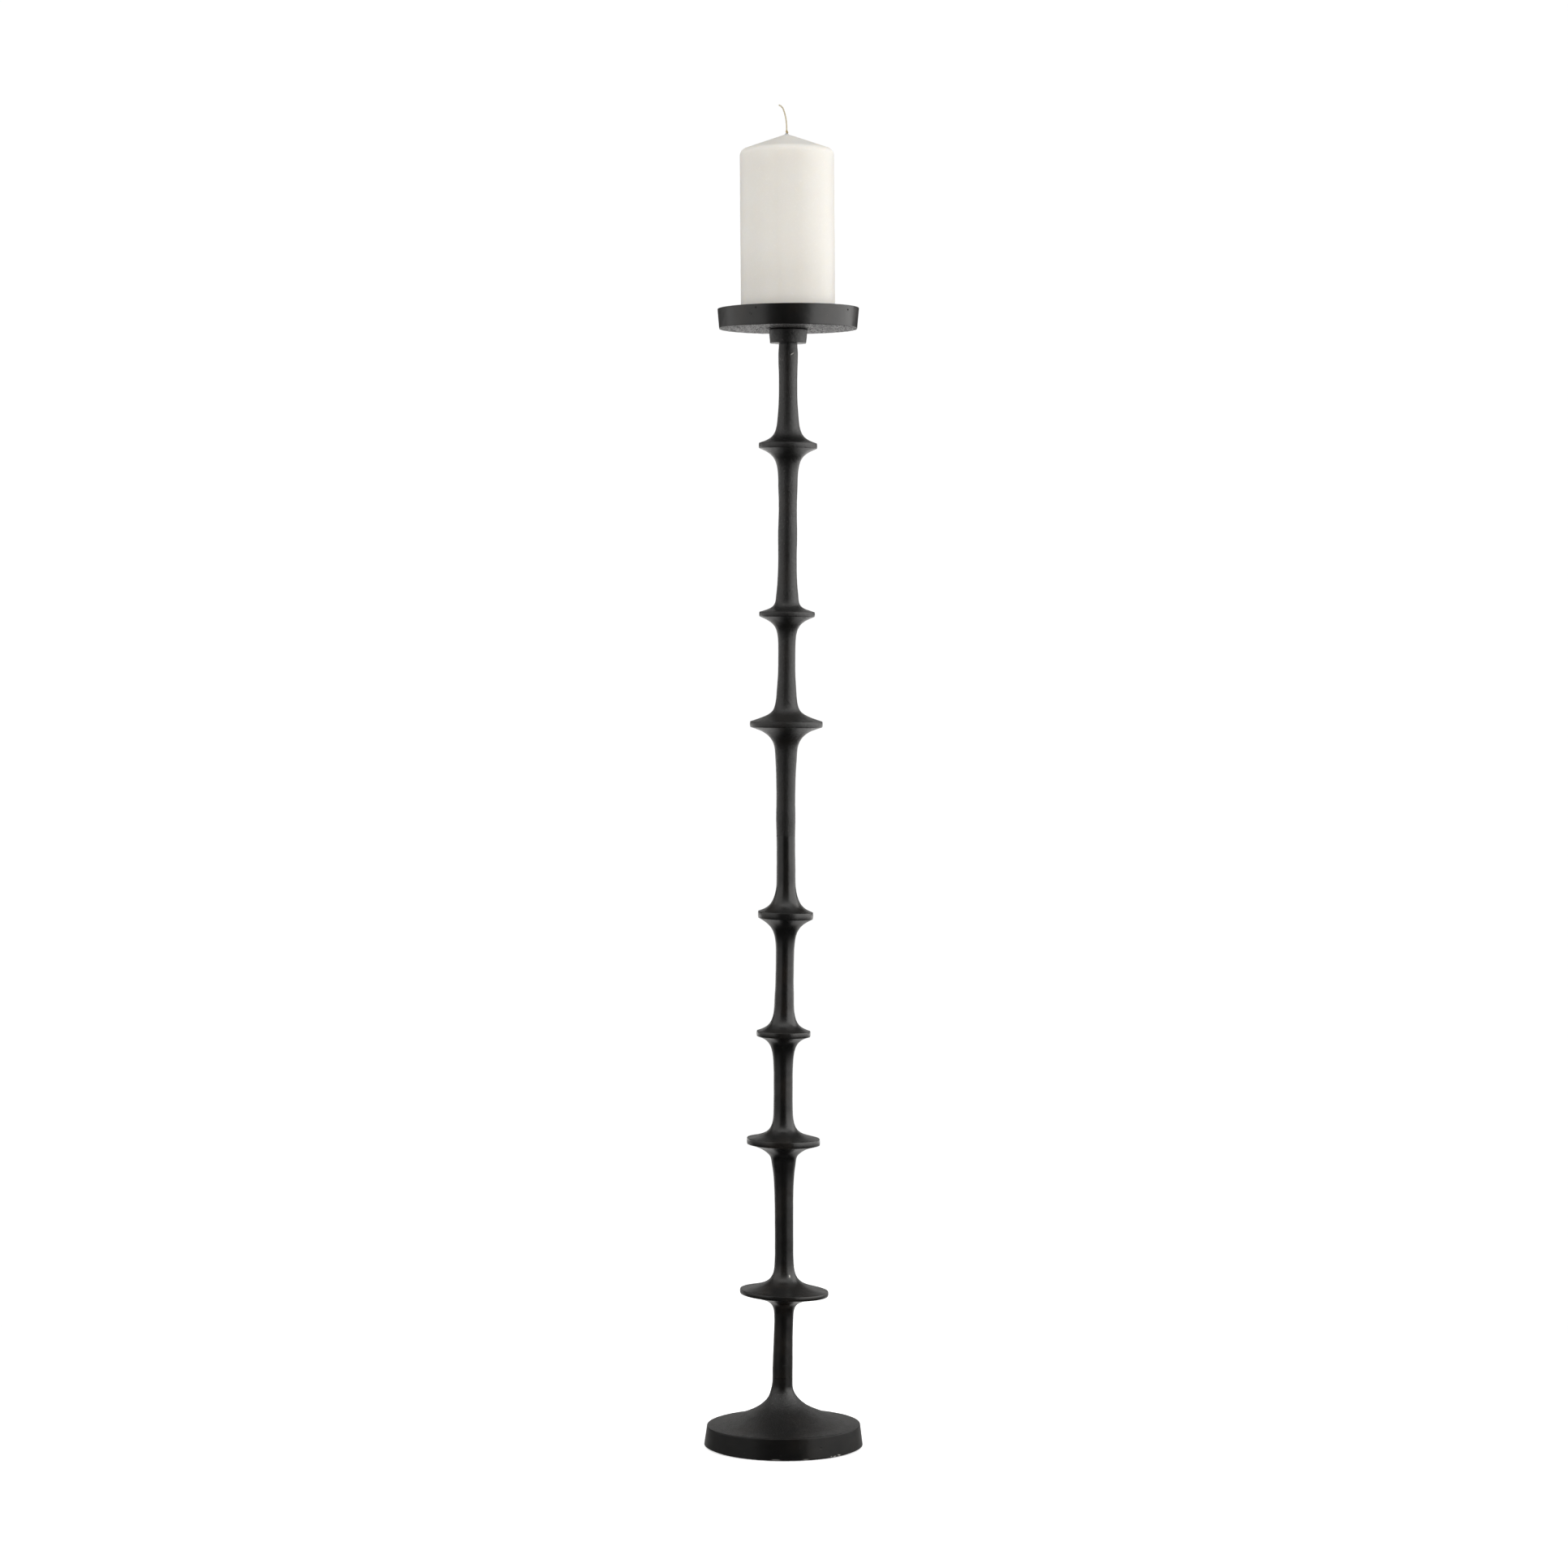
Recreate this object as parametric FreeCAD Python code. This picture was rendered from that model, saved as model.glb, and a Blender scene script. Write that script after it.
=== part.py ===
import FreeCAD, Part
import math
import os

from FreeCAD import Vector

# Pillar candle holder with its candle. Millimetres, +Z up, origin on the floor under the stem's axis.
# Every casting is turned about the Z axis, so each outline is drawn in the XZ plane as (radius, height).

# --- driving dimensions ------------------------------------------------------------------------
HOLDER_HEIGHT = 914.4          # floor to the pan's rim: 36 inches

FELT_THICKNESS = 1.2
FELT_RADIUS = 61.5

BASE_FOOT_RADIUS = 64.0        # widest, just above the floor
BASE_RIM_RADIUS = 61.8         # where the foot's wall meets the bell
BASE_RIM_HEIGHT = 17.6
BASE_BELL_SLOPE = 13.6         # degrees, bell's outer part
BASE_NECK_RADIUS = 8.15
BASE_NECK_START = 49.3
BASE_NECK_PULL = 0.73          # how near the bell's two ends pull its curve to their knee
BASE_RIM_PULL = 0.66
BASE_WALL = 4.5
BASE_BOSS_RADIUS = 13.0        # boss inside the bell that the bolt clamps
BASE_BOSS_HEIGHT = 20.0

BASE_JOINT = 56.0              # neck meets lower stem
STEM_JOINT = 492.7             # lower stem meets upper stem
STEM_JOINT_RADIUS = 7.5

# The stem's discs from the top down: height of the rim's middle, rim radius, thickness at the rim,
# slope of the flare above and below in degrees, and how sharp the knee above and below is (1 = sharpest).
UPPER_DISCS = [
    (805.0, 23.4, 4.3, 17.5, 22.0, 0.90, 0.93),
    (670.4, 22.3, 3.8, 17.0, 21.0, 1.00, 0.84),
    (582.4, 29.2, 4.6, 17.5, 18.0, 0.97, 1.00),
]
LOWER_DISCS = [
    (429.2, 22.3, 5.3, 19.0, 28.0, 0.88, 0.89),
    (333.6, 21.8, 4.3, 18.0, 17.5, 0.89, 0.89),
    (246.8, 29.5, 4.9, 13.0, 15.5, 0.98, 1.00),
    (124.9, 35.7, 4.0, 14.5, 12.0, 1.00, 1.00),
]
# Narrowest point of the stem above each disc, and under the last one: radius, height.
UPPER_WAISTS = [(7.35, 857.6), (7.27, 750.0), (6.85, 635.0), (STEM_JOINT_RADIUS, STEM_JOINT)]
LOWER_WAISTS = [(STEM_JOINT_RADIUS, STEM_JOINT), (7.35, 384.0), (7.70, 285.0), (7.38, 165.0), (7.63, 98.0)]
RIM_CROWN = 0.5                # how far a disc's rim bulges between its two edges
SWELL_RADIUS = 7.8             # slight swelling of the stem under the collar
SWELL_HEIGHT = 877.0
STEM_TOP_RADIUS = 7.4

COLLAR_HEIGHT = 11.4
COLLAR_TOP_RADIUS = 15.45
COLLAR_BOTTOM_RADIUS = 14.4
COLLAR_CHAMFER = 0.7
SOCKET_DEPTH = 6.5
SOCKET_CLEARANCE = 0.1

PAN_DEPTH = 11.5
PAN_FLOOR = 4.9
PAN_RIM_RADIUS = 56.6
PAN_FOOT_RADIUS = 55.1
PAN_INNER_RIM_RADIUS = 53.0
PAN_INNER_FLOOR_RADIUS = 52.0
PAN_EDGE_ROUND = 0.9
PAN_INNER_ROUND = 3.0

THREAD_GAP = 0.05              # radial gap between a fastener and its tapped hole
DRILL_POINT = 59.0             # half angle of a drilled hole's end, degrees

M8_RADIUS = 4.0
M8_CLEARANCE_RADIUS = 4.5
M8_HEAD_FLATS = 13.0
M8_HEAD_HEIGHT = 5.3
HEX_SIDES = 6
M8_BOLT_LENGTH = 60.0
M8_WASHER_RADIUS = 8.0
M8_WASHER_THICKNESS = 1.6
M8_SPRING_RADIUS = 7.4
M8_SPRING_THICKNESS = 2.0
M8_SPRING_SPLIT = 1.5
M8_STUD_LENGTH = 40.0

M6_RADIUS = 3.0
M6_CLEARANCE_RADIUS = 3.3
M6_HEAD_RADIUS = 6.0
M6_HEAD_HEIGHT = 3.0
M6_HEAD_LAND = 0.4             # straight edge of the countersunk head
M6_SCREW_LENGTH = 25.0
M6_SLOT_WIDTH = 1.6
M6_SLOT_DEPTH = 1.4
SCREW_SINK = 0.2               # head's top under the pan's floor
SEAT_GAP = 0.05                # between the countersunk head and its seat
TAP_SPARE = 2.0                # tapped hole is this much deeper than its fastener

CANDLE_RADIUS = 37.5
CANDLE_APEX = 150.9            # height of the cone's apex over the candle's foot
CANDLE_CONE_RADIUS = 34.0      # where the cone meets the shoulder
CANDLE_CONE_HEIGHT = 11.8
CANDLE_SHOULDER_DROP = 5.6
CANDLE_FOOT_CHAMFER = 0.8

WICK_RADIUS = 0.65
WICK_BORE_GAP = 0.05
WICK_STRAIGHT = 5.0            # free length over the apex before it leans
WICK_LEAN_RADIUS = 40.0        # first, gentle bend
WICK_LEAN = 20.0               # degrees
WICK_CURL_RADIUS = 6.0         # second bend, at the tip
WICK_CURL = 50.0               # degrees

SUSTAINER_RADIUS = 9.0
SUSTAINER_THICKNESS = 0.4
SUSTAINER_NECK_RADIUS = 1.3
SUSTAINER_NECK_HEIGHT = 3.0
SUSTAINER_GAP = 0.1            # wax clear of the clip

# --- derived heights ---------------------------------------------------------------------------
PAN_TOP = HOLDER_HEIGHT
PAN_SEAT = PAN_TOP - PAN_DEPTH
PAN_BOTTOM = PAN_SEAT - PAN_FLOOR
COLLAR_BOTTOM = PAN_BOTTOM - COLLAR_HEIGHT
STEM_TOP = COLLAR_BOTTOM + SOCKET_DEPTH

AXIS = Vector(0, 0, 1)
CENTRE = Vector(0, 0, 0)
FULL_TURN = 360.0


def point(radius, height):
    return Vector(radius, 0, height)


def line(start, end):
    return Part.LineSegment(point(*start), point(*end)).toShape()


def arc(start, middle, end):
    return Part.Arc(point(*start), point(*middle), point(*end)).toShape()


def polyline(corners):
    return [line(a, b) for a, b in zip(corners[:-1], corners[1:])]


def bezier(*poles):
    curve = Part.BezierCurve()
    curve.setPoles([point(*pole) for pole in poles])
    return curve.toShape()


def round_corner(before, corner, after, radius):
    """Arc that rounds the corner, as its start, middle and end in the XZ plane."""
    at = point(*corner)
    toward_before = (point(*before) - at).normalize()
    toward_after = (point(*after) - at).normalize()
    half_angle = toward_before.getAngle(toward_after) / 2
    setback = radius / math.tan(half_angle)
    bisector = (toward_before + toward_after).normalize()
    centre = at + bisector * (radius / math.sin(half_angle))
    middle = centre - bisector * radius
    start = at + toward_before * setback
    end = at + toward_after * setback
    return [(start.x, start.z), (middle.x, middle.z), (end.x, end.z)]


def turned(edges):
    """Solid turned about the Z axis from a closed outline of edges in the XZ plane."""
    face = Part.Face(Part.Wire(Part.sortEdges(edges)[0]))
    return face.revolve(CENTRE, AXIS, FULL_TURN)


def cylinder(radius, bottom, top):
    return Part.makeCylinder(radius, top - bottom, Vector(0, 0, bottom), AXIS)


def drilled(radius, mouth, depth, upward):
    """Blind hole from a mouth at the given height, ending in a drill point."""
    sign = 1 if upward else -1
    end = mouth + sign * depth
    tip = end + sign * radius / math.tan(math.radians(DRILL_POINT))
    return turned(polyline([(0, mouth), (radius, mouth), (radius, end), (0, tip), (0, mouth)]))


def save(shape, node):
    shape.exportStep("parts/" + node + ".step")


# --- stem --------------------------------------------------------------------------------------
def flare(waist, rim, slope, pull, side):
    """Curve from a waist of the stem to a disc's rim, above (side 1) or below (side -1) the disc."""
    waist_radius, waist_height = waist
    rim_radius, rim_height = rim
    knee_height = rim_height + side * (rim_radius - waist_radius) * math.tan(math.radians(slope))
    knee = (waist_radius, knee_height)
    near_waist = (waist_radius, waist_height + pull * (knee_height - waist_height))
    return bezier(waist, near_waist, knee, rim)


def disc_outline(disc, waist_above, waist_below):
    """Outer outline of the stem between two waists, with one disc between them."""
    height, radius, thickness, slope_above, slope_below, pull_above, pull_below = disc
    upper_edge = (radius - RIM_CROWN, height + thickness / 2)
    lower_edge = (radius - RIM_CROWN, height - thickness / 2)
    return [
        flare(waist_above, upper_edge, slope_above, pull_above, 1),
        arc(upper_edge, (radius, height), lower_edge),
        flare(waist_below, lower_edge, slope_below, pull_below, -1),
    ]


def discs_outline(discs, waists):
    edges = []
    for disc, above, below in zip(discs, waists[:-1], waists[1:]):
        edges += disc_outline(disc, above, below)
    return edges


def soft_step(upper, lower):
    """Gentle change of the stem's radius, upright at both ends."""
    middle_height = (upper[1] + lower[1]) / 2
    return bezier(upper, (upper[0], middle_height), (lower[0], middle_height), lower)


def upper_stem():
    swell = (SWELL_RADIUS, SWELL_HEIGHT)
    mouth = (STEM_TOP_RADIUS, COLLAR_BOTTOM)
    top = (STEM_TOP_RADIUS, STEM_TOP)
    edges = polyline([(STEM_JOINT_RADIUS, STEM_JOINT), (0, STEM_JOINT), (0, STEM_TOP), top, mouth])
    edges += [soft_step(mouth, swell), soft_step(swell, UPPER_WAISTS[0])]
    edges += discs_outline(UPPER_DISCS, UPPER_WAISTS)
    screw_reach = PAN_SEAT - SCREW_SINK - M6_SCREW_LENGTH
    solid = turned(edges)
    solid = solid.cut(drilled(M8_RADIUS, STEM_JOINT, M8_STUD_LENGTH / 2 + TAP_SPARE, True))
    return solid.cut(drilled(M6_RADIUS, STEM_TOP, STEM_TOP - screw_reach + TAP_SPARE, False))


def lower_stem():
    foot = (BASE_NECK_RADIUS, BASE_JOINT)
    edges = polyline([foot, (0, BASE_JOINT), (0, STEM_JOINT), (STEM_JOINT_RADIUS, STEM_JOINT)])
    edges += discs_outline(LOWER_DISCS, LOWER_WAISTS)
    edges.append(soft_step(LOWER_WAISTS[-1], foot))
    bolt_reach = bolt_seat() + M8_BOLT_LENGTH
    solid = turned(edges)
    solid = solid.cut(drilled(M8_RADIUS, STEM_JOINT, M8_STUD_LENGTH / 2 + TAP_SPARE, False))
    return solid.cut(drilled(M8_RADIUS, BASE_JOINT, bolt_reach - BASE_JOINT + TAP_SPARE, True))


def stem_stud():
    half = M8_STUD_LENGTH / 2
    return cylinder(M8_RADIUS - THREAD_GAP, STEM_JOINT - half, STEM_JOINT + half)


# --- base --------------------------------------------------------------------------------------
def bell_slope_height(edge, radius):
    """Height at a radius of the straight slope that rises inwards from an edge at the bell's slope."""
    return edge[1] + (edge[0] - radius) * math.tan(math.radians(BASE_BELL_SLOPE))


def bell(neck, rim):
    """Bell's curve from the neck to the rim."""
    knee = (neck[0], bell_slope_height(rim, neck[0]))
    near_neck = (neck[0], neck[1] + BASE_NECK_PULL * (knee[1] - neck[1]))
    near_rim = (rim[0] + BASE_RIM_PULL * (knee[0] - rim[0]), rim[1] + BASE_RIM_PULL * (knee[1] - rim[1]))
    return bezier(neck, near_neck, near_rim, rim)


def base_cavity():
    """Hollow under the bell, around the central boss."""
    roof_edge = (BASE_RIM_RADIUS - BASE_WALL, BASE_RIM_HEIGHT - BASE_WALL)
    roof_inner = (BASE_BOSS_RADIUS, bell_slope_height(roof_edge, BASE_BOSS_RADIUS))
    wall_foot = (BASE_FOOT_RADIUS - BASE_WALL, FELT_THICKNESS)
    outline = [(0, FELT_THICKNESS), wall_foot, roof_edge, roof_inner,
               (BASE_BOSS_RADIUS, BASE_BOSS_HEIGHT), (0, BASE_BOSS_HEIGHT), (0, FELT_THICKNESS)]
    return turned(polyline(outline))


def base():
    neck = (BASE_NECK_RADIUS, BASE_NECK_START)
    rim = (BASE_RIM_RADIUS, BASE_RIM_HEIGHT)
    foot = (BASE_FOOT_RADIUS, FELT_THICKNESS)
    edges = polyline([rim, foot, (0, FELT_THICKNESS), (0, BASE_JOINT), (BASE_NECK_RADIUS, BASE_JOINT), neck])
    edges.append(bell(neck, rim))
    solid = turned(edges).cut(base_cavity())
    return solid.cut(cylinder(M8_CLEARANCE_RADIUS, BASE_BOSS_HEIGHT, BASE_JOINT))


def felt_pad():
    return cylinder(FELT_RADIUS, 0, FELT_THICKNESS)


def base_washer():
    top = BASE_BOSS_HEIGHT
    bottom = top - M8_WASHER_THICKNESS
    return cylinder(M8_WASHER_RADIUS, bottom, top).cut(cylinder(M8_CLEARANCE_RADIUS, bottom, top))


def spring_washer():
    top = BASE_BOSS_HEIGHT - M8_WASHER_THICKNESS
    bottom = top - M8_SPRING_THICKNESS
    ring = cylinder(M8_SPRING_RADIUS, bottom, top).cut(cylinder(M8_CLEARANCE_RADIUS, bottom, top))
    split = Part.makeBox(M8_SPRING_RADIUS, M8_SPRING_SPLIT, M8_SPRING_THICKNESS,
                         Vector(0, -M8_SPRING_SPLIT / 2, bottom))
    return ring.cut(split)


def bolt_seat():
    """Height of the bolt head's clamping face."""
    return BASE_BOSS_HEIGHT - M8_WASHER_THICKNESS - M8_SPRING_THICKNESS


def base_bolt():
    seat = bolt_seat()
    corner_angle = 2 * math.pi / HEX_SIDES
    corner_radius = M8_HEAD_FLATS / 2 / math.cos(corner_angle / 2)
    corners = [Vector(corner_radius * math.cos(corner_angle * i), corner_radius * math.sin(corner_angle * i),
                      seat - M8_HEAD_HEIGHT)
               for i in range(HEX_SIDES)]
    head = Part.Face(Part.makePolygon(corners + corners[:1])).extrude(AXIS * M8_HEAD_HEIGHT)
    return head.fuse(cylinder(M8_RADIUS - THREAD_GAP, seat, seat + M8_BOLT_LENGTH))


# --- collar and pan ----------------------------------------------------------------------------
def pan_collar():
    top_edge = COLLAR_TOP_RADIUS - COLLAR_CHAMFER
    socket = STEM_TOP_RADIUS + SOCKET_CLEARANCE
    outline = [
        (M6_CLEARANCE_RADIUS, STEM_TOP), (socket, STEM_TOP), (socket, COLLAR_BOTTOM),
        (COLLAR_BOTTOM_RADIUS, COLLAR_BOTTOM), (COLLAR_TOP_RADIUS, PAN_BOTTOM - COLLAR_CHAMFER),
        (top_edge, PAN_BOTTOM), (M6_CLEARANCE_RADIUS, PAN_BOTTOM), (M6_CLEARANCE_RADIUS, STEM_TOP),
    ]
    return turned(polyline(outline))


def pan():
    """Shallow dish with a drafted wall, rounded rim and a countersunk hole in its floor."""
    foot = (PAN_FOOT_RADIUS, PAN_BOTTOM)
    rim_out = (PAN_RIM_RADIUS, PAN_TOP)
    rim_in = (PAN_INNER_RIM_RADIUS, PAN_TOP)
    floor = (PAN_INNER_FLOOR_RADIUS, PAN_SEAT)
    bottom_centre = (0, PAN_BOTTOM)
    seat_centre = (0, PAN_SEAT)
    corners = [
        round_corner(bottom_centre, foot, rim_out, PAN_EDGE_ROUND),
        round_corner(foot, rim_out, rim_in, PAN_EDGE_ROUND),
        round_corner(rim_out, rim_in, floor, PAN_EDGE_ROUND),
        round_corner(rim_in, floor, seat_centre, PAN_INNER_ROUND),
    ]
    edges = [line(seat_centre, bottom_centre)]
    reached = bottom_centre
    for start, middle, end in corners:
        edges += [line(reached, start), arc(start, middle, end)]
        reached = end
    edges.append(line(reached, seat_centre))
    return turned(edges).cut(turned(screw_outline(M6_CLEARANCE_RADIUS, SEAT_GAP, 0, PAN_BOTTOM)))


def screw_outline(shank_radius, head_gap, top_sink, shank_end):
    """Outline of the countersunk screw, or of its hole, from the pan's floor down to the shank's end."""
    head_top = PAN_SEAT - top_sink
    land_end = PAN_SEAT - SCREW_SINK - M6_HEAD_LAND
    head_radius = M6_HEAD_RADIUS + head_gap
    cone_end = land_end - (M6_HEAD_RADIUS - M6_RADIUS) + (shank_radius - M6_RADIUS) - head_gap
    return polyline([(0, head_top), (head_radius, head_top), (head_radius, land_end),
                     (shank_radius, cone_end), (shank_radius, shank_end), (0, shank_end), (0, head_top)])


def pan_screw():
    top = PAN_SEAT - SCREW_SINK
    solid = turned(screw_outline(M6_RADIUS - THREAD_GAP, 0, SCREW_SINK, top - M6_SCREW_LENGTH))
    slot = Part.makeBox(2 * M6_HEAD_RADIUS, M6_SLOT_WIDTH, M6_SLOT_DEPTH,
                        Vector(-M6_HEAD_RADIUS, -M6_SLOT_WIDTH / 2, top - M6_SLOT_DEPTH))
    return solid.cut(slot)


# --- candle ------------------------------------------------------------------------------------
def wick_route():
    """Wick's path: straight up from the clip, a lean over the apex, then a curl at the tip."""
    bottom = point(0, PAN_SEAT + SUSTAINER_GAP + SUSTAINER_THICKNESS)
    lean_start = point(0, PAN_SEAT + CANDLE_APEX + WICK_STRAIGHT)
    edges = [Part.LineSegment(bottom, lean_start).toShape()]
    at, heading = lean_start, 0.0
    for radius, turn in ((WICK_LEAN_RADIUS, WICK_LEAN), (WICK_CURL_RADIUS, WICK_CURL)):
        ends = []
        for angle in (heading + turn / 2, heading + turn):
            a, b = math.radians(heading), math.radians(angle)
            step = Vector(-radius * (math.cos(a) - math.cos(b)), 0, radius * (math.sin(b) - math.sin(a)))
            ends.append(at + step)
        edges.append(Part.Arc(at, ends[0], ends[1]).toShape())
        at, heading = ends[1], heading + turn
    return Part.Wire(edges)


def wick():
    route = wick_route()
    start = route.Edges[0].Vertexes[0].Point
    section = Part.Wire(Part.makeCircle(WICK_RADIUS, start, AXIS))
    return route.makePipeShell([section], True, True)


def sustainer_outline(gap):
    """Outline of the wick's clip, or of the space in the wax around it."""
    plate = SUSTAINER_RADIUS + gap
    neck = SUSTAINER_NECK_RADIUS + gap
    bottom = PAN_SEAT + SUSTAINER_GAP - gap
    plate_top = PAN_SEAT + SUSTAINER_GAP + SUSTAINER_THICKNESS + gap
    neck_top = plate_top + SUSTAINER_NECK_HEIGHT
    return polyline([(0, bottom), (plate, bottom), (plate, plate_top), (neck, plate_top),
                     (neck, neck_top), (0, neck_top), (0, bottom)])


def wick_sustainer():
    bore = WICK_RADIUS + WICK_BORE_GAP
    plate_top = PAN_SEAT + SUSTAINER_GAP + SUSTAINER_THICKNESS
    return turned(sustainer_outline(0)).cut(cylinder(bore, plate_top, plate_top + SUSTAINER_NECK_HEIGHT))


def candle():
    apex = PAN_SEAT + CANDLE_APEX
    cone_ring = (CANDLE_CONE_RADIUS, apex - CANDLE_CONE_HEIGHT)
    slope = CANDLE_CONE_HEIGHT / CANDLE_CONE_RADIUS
    wall_top = (CANDLE_RADIUS, cone_ring[1] - CANDLE_SHOULDER_DROP)
    corner = (CANDLE_RADIUS, cone_ring[1] - slope * (CANDLE_RADIUS - CANDLE_CONE_RADIUS))
    edges = polyline([wall_top, (CANDLE_RADIUS, PAN_SEAT + CANDLE_FOOT_CHAMFER),
                      (CANDLE_RADIUS - CANDLE_FOOT_CHAMFER, PAN_SEAT), (0, PAN_SEAT), (0, apex),
                      cone_ring])
    edges.append(bezier(cone_ring, corner, wall_top))
    solid = turned(edges).cut(turned(sustainer_outline(SUSTAINER_GAP)))
    return solid.cut(cylinder(WICK_RADIUS + WICK_BORE_GAP, PAN_SEAT, apex))


NODES = {
    "felt_pad": felt_pad,
    "base": base,
    "base_bolt": base_bolt,
    "base_washer": base_washer,
    "spring_washer": spring_washer,
    "lower_stem": lower_stem,
    "stem_stud": stem_stud,
    "upper_stem": upper_stem,
    "pan_collar": pan_collar,
    "pan": pan,
    "pan_screw": pan_screw,
    "candle": candle,
    "wick": wick,
    "wick_sustainer": wick_sustainer,
}

os.makedirs("parts", exist_ok=True)
for node, make in NODES.items():
    save(make(), node)
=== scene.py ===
import functools
import itertools
import math

import bpy
import numpy as np
from mathutils import Euler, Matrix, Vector


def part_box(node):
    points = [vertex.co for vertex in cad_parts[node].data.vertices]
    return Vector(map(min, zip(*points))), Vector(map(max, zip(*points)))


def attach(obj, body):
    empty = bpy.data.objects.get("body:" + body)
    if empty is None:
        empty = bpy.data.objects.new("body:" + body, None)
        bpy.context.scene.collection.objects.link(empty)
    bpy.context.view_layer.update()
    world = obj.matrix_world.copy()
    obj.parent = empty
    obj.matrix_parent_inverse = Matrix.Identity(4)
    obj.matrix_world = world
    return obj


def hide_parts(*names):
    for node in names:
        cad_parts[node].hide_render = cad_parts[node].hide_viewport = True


# Pillar candle holder with its candle. Shapes are worked out in millimetres, in the CAD frame, and
# every mesh is written in metres. The castings are turned outlines with a hand-made casting's faults:
# a stem that wanders, discs that tilt, and a grain in the skin.

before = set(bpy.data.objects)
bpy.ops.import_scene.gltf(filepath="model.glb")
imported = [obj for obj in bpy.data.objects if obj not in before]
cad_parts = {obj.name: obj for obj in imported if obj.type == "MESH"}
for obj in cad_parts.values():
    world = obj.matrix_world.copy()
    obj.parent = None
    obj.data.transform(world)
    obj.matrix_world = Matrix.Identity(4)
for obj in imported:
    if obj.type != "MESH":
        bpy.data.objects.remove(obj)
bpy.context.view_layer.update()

MM = 0.001
TURN = 2 * math.pi


def cad(node):
    """A CAD node's radius, lowest and highest point, in millimetres."""
    low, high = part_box(node)
    return max(high.x, -low.x) / MM, low.z / MM, high.z / MM


FOOT_RADIUS, BASE_BOTTOM, BASE_JOINT = cad("base")
STEM_JOINT = cad("lower_stem")[2]
STEM_TOP = cad("upper_stem")[2]
COLLAR_RADIUS, COLLAR_BOTTOM, COLLAR_TOP = cad("pan_collar")
PAN_RADIUS, PAN_BOTTOM, PAN_TOP = cad("pan")
CANDLE_RADIUS, CANDLE_BOTTOM, _ = cad("candle")
FELT_RADIUS, FELT_BOTTOM, FELT_TOP = cad("felt_pad")
CLIP_RADIUS, _, CLIP_TOP = cad("wick_sustainer")
CLEAR_M8, TAPPED_M8 = 4.5, 4.0  # radii of the holes for the two sizes of thread
CLEAR_M6, TAPPED_M6 = 3.3, 3.0
TAP_SPARE = 2.0  # a tapped hole is this much deeper than its fastener
STUD_REACH = 22.0  # depth of the tapped holes at the stem's joint
BOLT_HOLE_TOP = cad("base_bolt")[2] + TAP_SPARE
SCREW_HOLE_END = cad("pan_screw")[1] - TAP_SPARE
DRILL_TIP = 0.6  # a drilled hole's pointed end, as a share of its radius

# --- the stem's shape ---
# Discs from the top down: height, rim radius, thickness, slope of the flare above and below in
# degrees, how sharp the knee above and below is, and the tilt in degrees towards +X.
UPPER_DISCS = [
    (805.0, 23.4, 4.3, 17.5, 22.0, 0.90, 0.93, 0.6),
    (670.4, 22.3, 3.8, 17.0, 21.0, 1.00, 0.84, 0.4),
    (582.4, 29.2, 4.6, 17.5, 18.0, 0.97, 1.00, 0.2),
]
LOWER_DISCS = [
    (429.2, 22.3, 5.3, 19.0, 28.0, 0.88, 0.89, 1.9),
    (333.6, 21.8, 4.3, 18.0, 17.5, 0.89, 0.89, 0.9),
    (246.8, 29.5, 4.9, 13.0, 15.5, 0.98, 1.00, 1.3),
    (124.6, 35.7, 3.5, 13.6, 12.0, 1.00, 1.00, 2.1),
]
JOINT_RADIUS, NECK_RADIUS = 7.5, 8.15
# Radius and height of the stem's waists and of the swelling under the collar.
UPPER_WAISTS = [(7.35, 857.6), (7.27, 750.0), (6.85, 635.0), (JOINT_RADIUS, STEM_JOINT)]
LOWER_WAISTS = [(JOINT_RADIUS, STEM_JOINT), (7.35, 384.0), (7.70, 285.0), (7.38, 165.0), (7.63, 98.0)]
SWELL = (7.8, 877.0)
STEM_TOP_RADIUS = 7.4
RIM_CROWN = 0.25  # how far a disc's rim bulges between its two edges
TILT_REACH = 14.0  # how far above and below a disc its tilt fades out

# Wander of the stem's centre line: height, and how far it stands towards +X and +Y.
WANDER = [
    (20, 0.0, 0.0), (48, -1.1, 0.2), (66, -1.0, 0.3), (115, 0.1, 0.3), (170, -0.2, -0.2),
    (225, -0.65, -0.4), (262, -1.4, 0.0), (320, -1.5, 0.5), (386, -0.55, 0.4), (456, 0.2, -0.1),
    (507, -0.35, -0.4), (650, 0.0, -0.2), (770, 0.35, 0.4), (838, 0.2, 0.2), (886, 0.0, 0.0),
]
KINK_OFFSETS = (-14, -7, 0, 7, 14)  # heights that the wander is averaged over

# Filing took the flares down or left them full: height, reach and how far the skin moves out.
FILING = [
    (827, 11, 0.5), (772, 8, 0.3), (733, 12, 0.4), (679, 5, -1.1), (609, 11, 0.6), (593, 5, -0.5),
    (565, 8, -0.7), (507, 9, 0.3), (451, 9, -0.5), (362, 9, 0.35), (234, 4.5, -0.9),
]
FILING_RADIUS = 18  # filing stays this near the axis
FILING_FADE = 6

# --- noise and small helpers ---
GRADIENTS = np.random.default_rng(7).normal(size=(256, 3))
GRADIENTS /= np.linalg.norm(GRADIENTS, axis=1)[:, None]
SHUFFLE = np.random.default_rng(8).permutation(256)
SEED_STEP = 37.7  # how far apart two seeds read the same noise
NOISE_GAIN = 1.6  # brings gradient noise to about -1 to 1


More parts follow.
